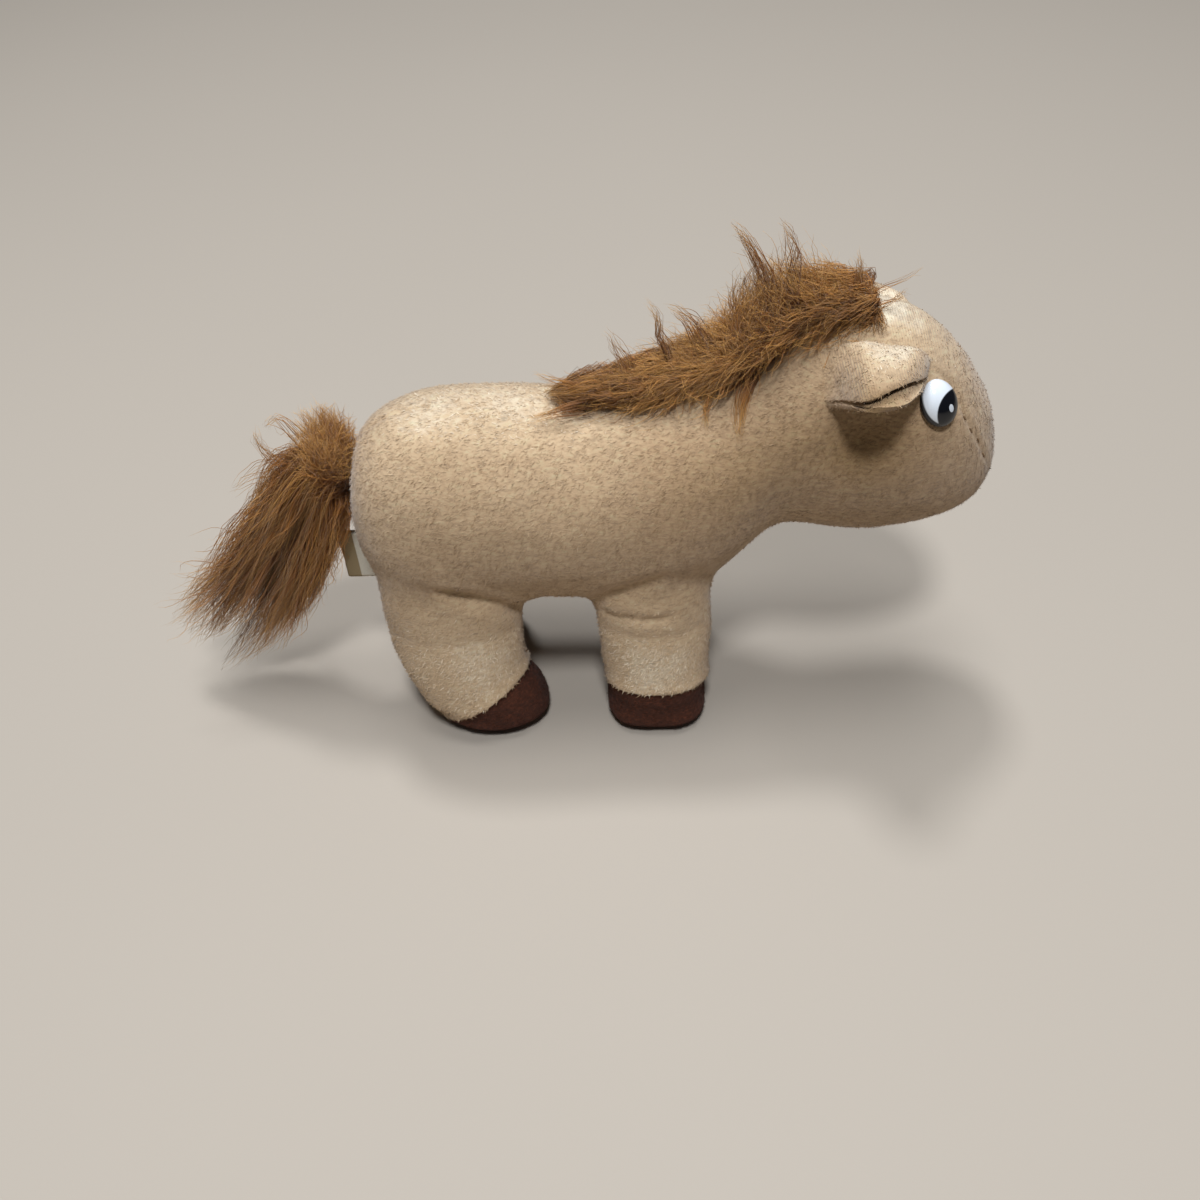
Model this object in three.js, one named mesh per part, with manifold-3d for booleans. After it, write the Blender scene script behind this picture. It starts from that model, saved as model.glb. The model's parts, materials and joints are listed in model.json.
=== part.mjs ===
// A small stuffed plush horse, standing on four legs, facing +X.
// Millimetres, +Z up, +Y to the horse's left. Each sub-part is one named mesh.

import * as THREE from 'three';
import { mergeVertices } from 'three/addons/utils/BufferGeometryUtils.js';
import Module from 'manifold-3d';

const wasm = await Module();
wasm.setup();

// Fabric and clearances
const fabricWall = 1.3; // short-pile knit with its backing
const clearance = 0.3; // gap between neighbours that touch on the real toy
const jointGap = 0.4; // gap round the round end of each limb
const overrun = 3; // how far a cutting tool passes the face that it cuts
const soleDepth = 0.5; // how far the hooves are pressed flat where they stand

// Body, measured from the rump to the chest
const bodyLength = 92;
const bodyWidth = 48;
const bodyHeight = 52.4;
const bodyCentreZ = 60.9; // height of the body's middle over the floor
const rumpX = -54.5; // the rump, from the middle of the belly
const chestX = rumpX + bodyLength;

// Head and neck, from the chest to the nose
const headLength = 54;
const headWidth = 38;
const headHeight = 56;
const headCentreZ = 80;
const neckReach = 52.7; // from the chest to the nose
const noseX = chestX + neckReach;
const neckSetBack = 1.5; // behind the chest
const neckPivotX = chestX - neckSetBack;
const neckPivotZ = 74;
const neckRadius = 19.8; // the round end of the neck inside the shoulders
const neckLean = 21.5; // degrees that the neck rises from level
const nodDown = 12; // degrees
const nodUp = 8;

// Legs
const legSpread = 13.4; // middle of each leg from the middle of the horse
const legInner = 2.4; // inner face of each leg's top from the middle of the horse
const legSwing = 12; // degrees each way
const hipHeight = 39.5; // height of the crease that each leg bends at
const foreSetBack = 23.1; // middle of the foreleg behind the chest
const foreX = chestX - foreSetBack;
const foreDepth = 27.6; // front to back
const foreWidth = 21; // side to side
const foreRadius = 14.6; // round top of the leg inside the body
const hindSetAhead = 20.7; // middle of the hind leg ahead of the rump
const hindX = rumpX + hindSetAhead;
const hindDepth = 33.4;
const hindWidth = 22;
const hindRadius = 17.4;
const rightFootReach = 11; // how far the hind hoof stands ahead of its hip
const leftFootReach = -1;
const rightHoofTilt = 36; // degrees that the hind hoof's toe points up
const leftHoofTilt = 10;
const foreHoofSeam = 12.4; // seam of the hooves over the floor, at the hoof's middle
const hindHoofSeam = 9.6;
const hoofOuterRise = 14; // degrees that the seam rises to the outside

// Eyes, oval plastic buttons on a stem with a washer inside
const eyeWidth = 8;
const eyeHeight = 10;
const eyeDome = 3;
const eyeSetBack = 18.4; // behind the nose
const eyeX = noseX - eyeSetBack;
const eyeY = 13.6;
const eyeZ = 92.6;
const eyeTurn = 20; // degrees that the eye looks forward
const eyeTilt = 30; // degrees that the eye looks up
const eyeLean = 12; // degrees that the oval leans back
const stemRadius = 1.5;
const stemLength = 7;
const washerRadius = 4;
const washerWall = 1;

// Ears, two layers of fabric each
const earBase = 19.5;
const earLength = 13;
const earLayer = 1.2;
const earSetBack = 31.6; // behind the nose
const earX = noseX - earSetBack;
const rightEarY = 10.5;
const rightEarZ = 104;
const leftEarY = 12.6;
const leftEarZ = 102;
const rightEarCup = 2.2; // depth of the hollow across the ear
const leftEarCup = 1.2;
const rightEarDroop = 10; // degrees that the ear hangs below level
const leftEarDroop = 46;
const rightEarLift = 40; // degrees that the ear flaps up
const leftEarLift = 70;
const rightEarDrop = 25; // degrees that the ear flaps down
const leftEarDrop = 2;

// Mane, a strip of long pile on a woven backing
const maneBacking = 1.2;
const maneBackingWidth = 6;
const maneWidth = 19;
const maneRise = 18.5; // the tallest tuft over the neck
const maneSetBack = 42.5; // from the chest back to where the mane starts
const maneEndSetBack = 30.2; // from the nose back to where it ends
const maneStartX = chestX - maneSetBack;
const maneEndX = noseX - maneEndSetBack;

// Tail, long pile on a rolled backing, hung from a tab in the rear seam
const tailSeat = 0.3; // how far inside the rump the tail's root lies
const tailRootX = rumpX + tailSeat;
const tailRootZ = 70;
const tabLength = 4;
const tabWall = 1.6;
const tabHeight = 5;
const tailSway = 40; // degrees each way
const tailLift = 25; // degrees
const tailDrop = 2; // degrees
const backingLength = 30;
const backingRadius = 2.2;
const tailLength = 76;
const tailWidth = 24;
const tailThickness = 16;
const tailLeanAngle = 28; // degrees that the tail's rings lean

// Sewn-in tag, bare
const tagStandOff = 6; // free end of the tag behind the rump
const tagEndX = rumpX - tagStandOff;
const tagLength = 11;
const tagHeight = 14.4;
const tagWall = 0.6;
const tagZ = 43.5;
const tagGap = 0.5;
const tagHingeDepth = 1.3; // from the rump in to where the tag bends
const tagHingeX = rumpX + tagHingeDepth;
const tagSwing = 40; // degrees each way

// Facets
const bodySides = 20;
const legSides = 14;
const tuftSides = 12;
const arcSteps = 12;
const stuffingFacets = 2; // facets of skin to one of stuffing
const mergeDistance = 1e-5; // corners closer than this are one corner
const slightest = 0.004; // details smaller than this are dropped

const degrees = THREE.MathUtils.degToRad;
const xAxis = new THREE.Vector3(1, 0, 0);
const yAxis = new THREE.Vector3(0, 1, 0);
const zAxis = new THREE.Vector3(0, 0, 1);

// Turns a closed three.js geometry into a solid
function solidOf(geometry) {
  const bare = geometry.clone();
  bare.deleteAttribute('normal');
  bare.deleteAttribute('uv');
  const merged = mergeVertices(bare, mergeDistance);
  return new wasm.Manifold(new wasm.Mesh({
    numProp: 3,
    vertProperties: new Float32Array(merged.attributes.position.array),
    triVerts: new Uint32Array(merged.index.array),
  }));
}

// A solid from points and triangles, turned so that its faces point out
function closedSolid(points, faces) {
  const geometry = new THREE.BufferGeometry().setFromPoints(points);
  geometry.setIndex(faces);
  const solid = solidOf(geometry);
  if (solid.volume() > 0) return solid;
  geometry.setIndex(faces.toReversed());
  return solidOf(geometry);
}

// Turns a solid back into a three.js geometry
function geometryOf(solid) {
  const mesh = solid.simplify(slightest).getMesh();
  const geometry = new THREE.BufferGeometry();
  geometry.setAttribute('position', new THREE.BufferAttribute(mesh.vertProperties, mesh.numProp));
  geometry.setIndex(new THREE.BufferAttribute(mesh.triVerts, 1));
  geometry.computeVertexNormals();
  return geometry;
}

function moved(solid, matrix) {
  return solid.transform(matrix.elements);
}

function mirrored(solid) {
  return moved(solid, new THREE.Matrix4().makeScale(1, -1, 1));
}

// A closed solid through oval rings. Its first and last stations are points.
// A station holds its middle, the ring's two directions, and its half sizes along them.
function loft(stations, sides) {
  const points = [];
  const faces = [];
  const rings = stations.slice(1, -1);
  for (const ring of rings) {
    for (let side = 0; side < sides; side += 1) {
      const angle = (2 * Math.PI * side) / sides;
      points.push(ring.middle.clone()
        .addScaledVector(ring.across, ring.halfAcross * Math.cos(angle))
        .addScaledVector(ring.upward, ring.halfUpward * Math.sin(angle)));
    }
  }
  for (let row = 0; row + 1 < rings.length; row += 1) {
    for (let side = 0; side < sides; side += 1) {
      const here = row * sides + side;
      const next = row * sides + ((side + 1) % sides);
      faces.push(here, next, next + sides, here, next + sides, here + sides);
    }
  }
  const start = points.push(stations[0].middle) - 1;
  const end = points.push(stations[stations.length - 1].middle) - 1;
  const lastRow = (rings.length - 1) * sides;
  for (let side = 0; side < sides; side += 1) {
    const next = (side + 1) % sides;
    faces.push(start, next, side, end, lastRow + side, lastRow + next);
  }
  return closedSolid(points, faces);
}

// A flat outline in the X-Z plane, drawn out along Y from low to high
function slab(outline, lowY, highY) {
  const geometry = new THREE.ExtrudeGeometry(new THREE.Shape(outline), {
    depth: highY - lowY, bevelEnabled: false, steps: 1,
  });
  geometry.rotateX(Math.PI / 2);
  geometry.translate(0, highY, 0);
  return solidOf(geometry);
}

function block(sizeX, sizeY, sizeZ, middle) {
  const geometry = new THREE.BoxGeometry(sizeX, sizeY, sizeZ);
  geometry.translate(middle.x, middle.y, middle.z);
  return solidOf(geometry);
}

// Body and head in one: shares of length, height of the middle, width and height
const bodyShares = [
  [0, -0.02, 0, 0],
  [0.012, -0.02, 0.42, 0.5],
  [0.045, -0.015, 0.68, 0.74],
  [0.1, -0.01, 0.86, 0.87],
  [0.17, 0, 0.96, 0.95],
  [0.26, 0.01, 1, 0.99],
  [0.4, 0.01, 1, 0.985],
  [0.54, 0, 0.97, 0.98],
  [0.66, 0.01, 0.96, 1.01],
  [0.76, 0.03, 0.96, 1.04],
  [0.85, 0.06, 0.92, 1.05],
  [0.92, 0.12, 0.85, 1],
  [1, 0.23, 0.77, 0.88],
];
const headShares = [
  [0.09, -0.045, 0.92, 0.82],
  [0.2, -0.015, 0.95, 0.91],
  [0.34, 0, 0.99, 1],
  [0.48, -0.005, 1, 1.01],
  [0.6, -0.022, 0.96, 0.96],
  [0.7, -0.05, 0.9, 0.87],
  [0.8, -0.085, 0.8, 0.73],
  [0.88, -0.12, 0.66, 0.58],
  [0.95, -0.155, 0.45, 0.4],
  [1, -0.18, 0, 0],
];

// The horse without its legs, drawn in by inset all round
function trunk(inset, sides = bodySides) {
  const stations = [];
  const place = (x, z, halfWidth, halfHeight) => stations.push({
    middle: new THREE.Vector3(x, 0, z),
    across: yAxis,
    upward: zAxis,
    halfAcross: halfWidth - inset,
    halfUpward: halfHeight - inset,
  });
  for (const [along, rise, width, height] of bodyShares) {
    place(
      rumpX + along * bodyLength,
      bodyCentreZ + rise * bodyHeight,
      (width * bodyWidth) / 2,
      (height * bodyHeight) / 2,
    );
  }
  for (const [along, rise, width, height] of headShares) {
    place(
      noseX - (1 - along) * headLength,
      headCentreZ + rise * headHeight,
      (width * headWidth) / 2,
      (height * headHeight) / 2,
    );
  }
  stations[0].middle.x += inset;
  stations[stations.length - 1].middle.x -= inset;
  const inside = stations.filter((station, index) => {
    const isEnd = index === 0 || index === stations.length - 1;
    return isEnd || (station.middle.x > stations[0].middle.x
      && station.middle.x < stations[stations.length - 1].middle.x);
  });
  return loft(inside, sides);
}

// Legs: shares of hip height, reach forward, tilt, depth and width
const foreShares = [
  [1.36, 0, 0, 0, 0],
  [1.3, 0, 0, 0.5, 0.5],
  [1.16, 0, 0, 0.86, 0.78],
  [1, 0, 0, 0.98, 0.94],
  [0.76, 0, 0, 1, 1],
  [0.45, 0, 0, 0.94, 0.97],
  [0.2, 0, 0, 0.89, 0.95],
  [0.08, 0, 0, 0.87, 0.93],
  [0.025, 0, 0, 0.79, 0.84],
  [0.001, 0, 0, 0.62, 0.66],
  [-soleDepth / hipHeight, 0, 0, 0, 0],
];
const hindShares = [
  [1.6, 0, 0, 0, 0],
  [1.52, 0, 0, 0.62, 0.4],
  [1.36, 0, 0, 0.9, 0.66],
  [1.16, 0, 0, 1, 0.84],
  [0.98, 0, 0, 1.01, 0.95],
  [0.76, 0, 0, 0.99, 1],
  [0.56, 0.08, 0.15, 0.94, 0.99],
  [0.38, 0.28, 0.6, 0.86, 0.95],
  [0.24, 0.5, 0.95, 0.81, 0.93],
  [0.15, 0.8, 0.85, 0.78, 0.91],
  [0.085, 1, 0.58, 0.69, 0.82],
  [0.04, 1.08, 0.3, 0.52, 0.62],
  [-soleDepth / hipHeight, 0.85, 0, 0, 0],
];
const plantedShares = [
  ...hindShares.slice(0, 8),
  [0.22, 0.55, 0.9, 0.83, 0.94],
  [0.12, 0.85, 0.8, 0.82, 0.93],
  [0.055, 1, 0.5, 0.77, 0.87],
  [0.001, 1, 0, 0.6, 0.66],
  [-soleDepth / hipHeight, 1, 0, 0, 0],
];

// Each leg's own sizes. Side is -1 on the horse's right.
const foreSizes = {
  x: foreX, depth: foreDepth, width: foreWidth, radius: foreRadius, shares: foreShares,
  reach: 0, tilt: 0, seam: foreHoofSeam,
};
const hindSizes = { x: hindX, depth: hindDepth, width: hindWidth, radius: hindRadius, seam: hindHoofSeam };
const legs = [
  { ...foreSizes, name: 'foreleg_right', side: -1 },
  { ...foreSizes, name: 'foreleg_left', side: 1 },
  {
    ...hindSizes, name: 'hindleg_right', side: -1, shares: hindShares, reach: rightFootReach, tilt: rightHoofTilt,
  },
  {
    ...hindSizes, name: 'hindleg_left', side: 1, shares: plantedShares, reach: leftFootReach, tilt: leftHoofTilt,
  },
];

// A piece made for the right side goes on a leg's own side
function onSide(solid, side) {
  return side < 0 ? solid : mirrored(solid);
}

// A leg, drawn in by inset all round
function legForm(leg, inset, sides) {
  const stations = leg.shares.map(([height, forward, tilt, depth, width]) => {
    const turn = degrees(tilt * leg.tilt);
    return {
      middle: new THREE.Vector3(leg.x + forward * leg.reach, -legSpread, height * hipHeight),
      across: new THREE.Vector3(Math.cos(turn), 0, Math.sin(turn)),
      upward: yAxis,
      halfAcross: (depth * leg.depth) / 2 - inset,
      halfUpward: (width * leg.width) / 2 - inset,
    };
  });
  const last = stations.length - 1;
  stations[0].middle.z -= inset;
  stations[last].middle.z += inset;
  const inside = stations.filter((station, index) => index === 0 || index === last
    || (station.middle.z > stations[last].middle.z && station.middle.z < stations[0].middle.z));
  return onSide(loft(inside, sides), leg.side);
}

// The round end of a moving piece, seen from the side: a half disc on straight shoulders.
// Along is measured from the pivot away from the joint, and up is square to it.
function endOutline(radius, shoulders) {
  const outline = [];
  for (let step = 0; step <= arcSteps; step += 1) {
    const angle = Math.PI / 2 + (Math.PI * step) / arcSteps;
    outline.push(new THREE.Vector2(radius * Math.cos(angle), radius * Math.sin(angle)));
  }
  return outline.concat(shoulders.map(([along, up]) => new THREE.Vector2(along, up)));
}

// Places an outline at a pivot, with its along direction turned from +X by a number of degrees
function placed(outline, pivotX, pivotZ, turn) {
  const pivot = new THREE.Vector2(pivotX, pivotZ);
  const origin = new THREE.Vector2(0, 0);
  return outline.map((point) => point.clone().rotateAround(origin, degrees(turn)).add(pivot));
}

// Space of a leg: its round top inside the body and everything under the belly
const bellyZ = bodyCentreZ - bodyHeight / 2 - jointGap;
const hipDrop = hipHeight - bellyZ;
const legOuter = bodyWidth / 2 + overrun;
const middleX = (foreX + hindX) / 2;
const legReachX = bodyLength / 2;

function legSpace(leg, gap) {
  const radius = leg.radius + gap;
  const swing = gap > 0 ? degrees(legSwing) : 0;
  const shoulder = leg.radius / Math.cos(swing) + gap;
  const flare = shoulder + (hipDrop + overrun) * Math.tan(swing);
  const top = placed(endOutline(radius, [
    [0, -shoulder], [hipDrop + overrun, -flare], [hipDrop + overrun, flare], [0, shoulder],
  ]), leg.x, hipHeight, -90);
  const inner = legInner - gap;
  const upper = slab(top, -legOuter, -inner);
  const ahead = leg.x > middleX ? 1 : -1;
  const low = block(
    legReachX,
    legOuter - inner,
    bellyZ + overrun,
    new THREE.Vector3(
      middleX + ahead * (legReachX / 2),
      -(legOuter + inner) / 2,
      (bellyZ - overrun) / 2,
    ),
  );
  return onSide(upper.add(low), leg.side);
}

// Space of the head: the round end of the neck inside the shoulders and everything ahead of it
const headReach = headLength + headHeight;

function headSpace(gap) {
  const closeUp = gap > 0 ? Math.tan(degrees(nodUp)) : 0;
  const closeDown = gap > 0 ? Math.tan(degrees(nodDown)) : 0;
  const radius = neckRadius + gap;
  const shoulders = [[overrun, -radius], [overrun, radius]];
  const round = placed(endOutline(radius, shoulders), neckPivotX, neckPivotZ, neckLean);
  const ahead = placed([
    new THREE.Vector2(-gap, 0),
    new THREE.Vector2(-gap - headReach * closeDown, -headReach),
    new THREE.Vector2(headReach, -headReach),
    new THREE.Vector2(headReach, headReach),
    new THREE.Vector2(-gap - headReach * closeUp, headReach),
  ], neckPivotX, neckPivotZ, neckLean);
  return slab(round, -legOuter, legOuter).add(slab(ahead, -legOuter, legOuter));
}

// Everything under the seam of a hoof
const seamReachShare = 0.5; // where the seam is along the foot's reach
function hoofSpace(leg, lift) {
  const size = 2 * hipHeight;
  const seamX = leg.x + seamReachShare * leg.reach;
  const turn = new THREE.Matrix4().makeTranslation(seamX, -legSpread, leg.seam + lift)
    .multiply(new THREE.Matrix4().makeRotationY(-degrees(leg.tilt)))
    .multiply(new THREE.Matrix4().makeRotationX(-degrees(hoofOuterRise)));
  return onSide(moved(block(size, size, size, new THREE.Vector3(0, 0, -size / 2)), turn), leg.side);
}

// The whole horse, drawn in by inset: skin is between two of these, stuffing is the inner one
const aboveFloor = block(
  4 * bodyLength,
  4 * bodyWidth,
  4 * bodyHeight,
  new THREE.Vector3(0, 0, 2 * bodyHeight),
);

function wholeForm(inset, facets = 1) {
  let form = trunk(inset, bodySides / facets);
  for (const leg of legs) form = form.add(legForm(leg, inset, legSides / facets));
  return form.intersect(aboveFloor);
}

const outerForm = wholeForm(0);
const innerForm = wholeForm(fabricWall);
const stuffingForm = wholeForm(fabricWall + clearance, stuffingFacets);
const allSkin = outerForm.subtract(innerForm);

// Materials
const furColour = 0xc4a887;
const hoofColour = 0x3e241a;
const hairColour = 0x8c5f32;
const stuffingColour = 0xf2f0ea;
const eyeColour = 0xf4f4f2;
const washerColour = 0xd8d6d0;
const tagColour = 0xe6e2d6;
const backingColour = 0x6d4a2a;

function cloth(colour) {
  return new THREE.MeshStandardMaterial({ color: colour, roughness: 0.95, metalness: 0 });
}

function plastic(colour, roughness) {
  return new THREE.MeshStandardMaterial({ color: colour, roughness, metalness: 0 });
}

const horse = new THREE.Group();

function addPart(name, solid, material) {
  const mesh = new THREE.Mesh(geometryOf(solid), material);
  mesh.name = name;
  horse.add(mesh);
}

// Adds a right-hand piece and its mirror image on the left
function addPair(name, solid, material) {
  addPart(`${name}_right`, solid, material);
  addPart(`${name}_left`, mirrored(solid), material);
}

// Eyes: where a right eye sits, with its own +Z looking out of the head
const eyeFrame = new THREE.Matrix4();
{
  const turn = degrees(eyeTurn);
  const tilt = degrees(eyeTilt);
  const out = new THREE.Vector3(
    Math.sin(turn) * Math.cos(tilt),
    -Math.cos(turn) * Math.cos(tilt),
    Math.sin(tilt),
  );
  const side = new THREE.Vector3().crossVectors(zAxis, out).normalize();
  const up = new THREE.Vector3().crossVectors(out, side);
  eyeFrame.makeBasis(side, up, out).setPosition(eyeX, -eyeY, eyeZ);
  eyeFrame.multiply(new THREE.Matrix4().makeRotationZ(degrees(eyeLean)));
}

function rod(radius, low, high, sides) {
  const geometry = new THREE.CylinderGeometry(radius, radius, high - low, sides);
  geometry.rotateX(Math.PI / 2);
  geometry.translate(0, 0, (low + high) / 2);
  return moved(solidOf(geometry), eyeFrame);
}

const washerDepth = fabricWall + 3 * clearance;
const washerHigh = -washerDepth;
const washerLow = washerHigh - washerWall;
const dome = new THREE.SphereGeometry(1, 18, 12);
dome.scale(eyeWidth / 2, eyeHeight / 2, eyeDome);
const eyeStem = rod(stemRadius, -stemLength, eyeDome / 2, tuftSides);
const eye = moved(solidOf(dome), eyeFrame).subtract(trunk(-clearance)).add(eyeStem);
const stemHole = rod(stemRadius + clearance, -stemLength - clearance, eyeDome, tuftSides);
const washerPocket = rod(washerRadius + clearance, washerLow - clearance, eyeDome, bodySides);
const washer = rod(washerRadius, washerLow, washerHigh, bodySides)
  .subtract(rod(stemRadius + clearance, washerLow - overrun, washerHigh + overrun, tuftSides));

// Skin and stuffing, cut where the limbs and the neck bend
const headRoom = headSpace(0);
const headCut = headSpace(jointGap);
let bodySkin = allSkin.subtract(headCut);
let bodyStuffing = stuffingForm.subtract(headCut);
for (const leg of legs) {
  const cut = legSpace(leg, jointGap);
  bodySkin = bodySkin.subtract(cut);
  bodyStuffing = bodyStuffing.subtract(cut);
}
addPart('body_skin', bodySkin, cloth(furColour));
addPart('body_stuffing', bodyStuffing, cloth(stuffingColour));

const bothHoles = stemHole.add(mirrored(stemHole));
const bothPockets = washerPocket.add(mirrored(washerPocket));
const underBelly = block(
  2 * headReach,
  2 * legOuter,
  bellyZ + overrun,
  new THREE.Vector3(0, 0, (bellyZ - overrun) / 2),
);
const headOnly = headRoom.subtract(underBelly);
addPart('head_skin', allSkin.intersect(headOnly).subtract(bothHoles), cloth(furColour));
addPart(
  'head_stuffing',
  stuffingForm.intersect(headOnly).subtract(bothHoles).subtract(bothPockets),
  cloth(stuffingColour),
);
addPair('eye', eye, plastic(eyeColour, 0.12));
addPair('eye_washer', washer, plastic(washerColour, 0.5));

for (const leg of legs) {
  const room = legSpace(leg, 0);
  const skin = allSkin.intersect(room);
  addPart(`${leg.name}_skin`, skin.subtract(hoofSpace(leg, clearance)), cloth(furColour));
  addPart(`${leg.name}_hoof`, skin.intersect(hoofSpace(leg, 0)), cloth(hoofColour));
  addPart(`${leg.name}_stuffing`, stuffingForm.intersect(room), cloth(stuffingColour));
}

// Ears: a leaf of two layers, its top layer and its lining
const earAlongShares = [-0.12, 0.1, 0.3, 0.55, 0.75, 0.88, 0.96, 1];
const earRearShares = [-0.5, -0.5, -0.5, -0.49, -0.46, -0.4, -0.33, -0.22];
const earFrontShares = [0.5, 0.5, 0.44, 0.33, 0.2, 0.09, 0, -0.1];
const earCrossSteps = 6;

// A right ear layer between two heights over the ear's own plane
function earLayerForm(low, high, cup) {
  const points = [];
  for (const level of [low, high]) {
    earAlongShares.forEach((along, row) => {
      for (let step = 0; step <= earCrossSteps; step += 1) {
        const across = THREE.MathUtils.lerp(earRearShares[row], earFrontShares[row], step / earCrossSteps);
        points.push(new THREE.Vector3(
          across * earBase,
          -along * earLength,
          level - cup * (2 * across) ** 2,
        ));
      }
    });
  }
  const row = earCrossSteps + 1;
  const rows = earAlongShares.length;
  const layer = row * rows;
  const faces = [];
  const quad = (a, b, c, d) => faces.push(a, b, c, a, c, d);
  for (let along = 0; along + 1 < rows; along += 1) {
    for (let step = 0; step < earCrossSteps; step += 1) {
      const here = along * row + step;
      quad(here, here + 1, here + row + 1, here + row);
      quad(layer + here, layer + here + row, layer + here + row + 1, layer + here + 1);
    }
    const first = along * row;
    const last = first + earCrossSteps;
    quad(first, first + row, layer + first + row, layer + first);
    quad(last, layer + last, layer + last + row, last + row);
  }
  for (let step = 0; step < earCrossSteps; step += 1) {
    const tip = (rows - 1) * row + step;
    quad(step, layer + step, layer + step + 1, step + 1);
    quad(tip, tip + 1, layer + tip + 1, layer + tip);
  }
  return closedSolid(points, faces);
}

// A solid turned about a line through a point
function turnedAbout(solid, axis, point, turn) {
  const matrix = new THREE.Matrix4().makeTranslation(point.x, point.y, point.z)
    .multiply(new THREE.Matrix4().makeRotationAxis(axis, degrees(turn)))
    .multiply(new THREE.Matrix4().makeTranslation(-point.x, -point.y, -point.z));
  return moved(solid, matrix);
}

const trunkGrown = trunk(-clearance);

// An ear is cut to the head as it meets it at rest and all through its flap
const flapShares = [0.25, 0.5, 0.75, 1];
function addEar(side, word, ear) {
  const hinge = new THREE.Vector3(earX, -ear.y, ear.z);
  const frame = new THREE.Matrix4().makeTranslation(hinge.x, hinge.y, hinge.z)
    .multiply(new THREE.Matrix4().makeRotationX(degrees(ear.droop)));
  let stops = trunkGrown.add(turnedAbout(trunkGrown, xAxis, hinge, -ear.drop));
  for (const share of flapShares) {
    stops = stops.add(turnedAbout(trunkGrown, xAxis, hinge, share * ear.lift));
  }
  const addLayer = (name, low, high) => {
    const layer = moved(earLayerForm(low, high, ear.cup), frame).subtract(stops);
    addPart(name, onSide(layer, side), cloth(furColour));
  };
  addLayer(`ear_outer_${word}`, 0, earLayer);
  addLayer(`ear_lining_${word}`, -clearance - earLayer, -clearance);
}

addEar(-1, 'right', {
  y: rightEarY, z: rightEarZ, cup: rightEarCup, droop: rightEarDroop, lift: rightEarLift, drop: rightEarDrop,
});
addEar(1, 'left', {
  y: leftEarY, z: leftEarZ, cup: leftEarCup, droop: leftEarDroop, lift: leftEarLift, drop: leftEarDrop,
});

// Mane: a woven backing along the spine and long pile on it, parted where the neck bends
const backingShell = trunk(-clearance - maneBacking);
const strip = block(
  maneEndX - maneStartX,
  maneBackingWidth,
  bodyHeight,
  new THREE.Vector3((maneStartX + maneEndX) / 2, 0, bodyCentreZ + bodyHeight / 2 + clearance),
);
const backing = backingShell.subtract(trunkGrown).intersect(strip);
addPart('mane_backing_neck', backing.subtract(headCut), cloth(backingColour));
addPart('mane_backing_head', backing.intersect(headRoom), cloth(backingColour));

// Pile: x, height of the middle, half width and half height as shares of the mane's sizes
const maneShares = [
  [0, 0, 0, 0],
  [0.05, 0.02, 0.45, 0.14],
  [0.15, 0.12, 0.75, 0.3],
  [0.28, 0.2, 0.95, 0.46],
  [0.4, 0.42, 1, 0.62],
  [0.52, 0.72, 1, 0.75],
  [0.62, 0.98, 0.98, 0.8],
  [0.74, 1.08, 0.9, 0.64],
  [0.86, 1.04, 0.78, 0.46],
  [0.95, 0.98, 0.55, 0.3],
  [1, 0.95, 0, 0],
];
const maneLength = maneEndX - maneStartX;
const maneFootZ = bodyCentreZ + bodyHeight / 2;
const maneForm = loft(maneShares.map(([along, rise, width, height]) => ({
  middle: new THREE.Vector3(maneStartX + along * maneLength, 0, maneFootZ + rise * maneRise),
  across: yAxis,
  upward: zAxis,
  halfAcross: (width * maneWidth) / 2,
  halfUpward: height * maneRise,
})), tuftSides).subtract(trunk(-2 * clearance - maneBacking));
addPart('mane_pile_neck', maneForm.subtract(headCut), cloth(hairColour));
addPart('mane_pile_head', maneForm.intersect(headRoom), cloth(hairColour));

// Tail: a tab in the rear seam carries a rolled backing with long pile round it
const tabMiddle = new THREE.Vector3(tailRootX - tabLength / 2, 0, tailRootZ);
const swayPoint = new THREE.Vector3(tailRootX, 0, tailRootZ);
const tab = block(tabLength, tabWall, tabHeight, tabMiddle)
  .subtract(trunkGrown)
  .subtract(turnedAbout(trunkGrown, zAxis, swayPoint, tailSway))
  .subtract(turnedAbout(trunkGrown, zAxis, swayPoint, -tailSway));
addPart('tail_tab', tab, cloth(backingColour));

// Pile: back and down as shares of the tail's length, then width and thickness of its rings
const tailShares = [
  [0.03, -0.19, 0, 0],
  [0.045, -0.16, 0.4, 0.5],
  [0.07, -0.1, 0.62, 0.8],
  [0.1, -0.02, 0.74, 0.94],
  [0.15, 0.11, 0.82, 1],
  [0.27, 0.29, 0.78, 1],
  [0.36, 0.46, 0.9, 1],
  [0.43, 0.62, 0.96, 0.88],
  [0.48, 0.74, 0.72, 0.62],
  [0.52, 0.84, 0, 0],
];
const tailLean = degrees(tailLeanAngle);
const tailForm = loft(tailShares.map(([back, down, width, thickness]) => ({
  middle: new THREE.Vector3(tailRootX - back * tailLength, 0, tailRootZ - down * tailLength),
  across: new THREE.Vector3(Math.cos(tailLean), 0, -Math.sin(tailLean)),
  upward: yAxis,
  halfAcross: (width * tailWidth) / 2,
  halfUpward: (thickness * tailThickness) / 2,
})), tuftSides);

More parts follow.
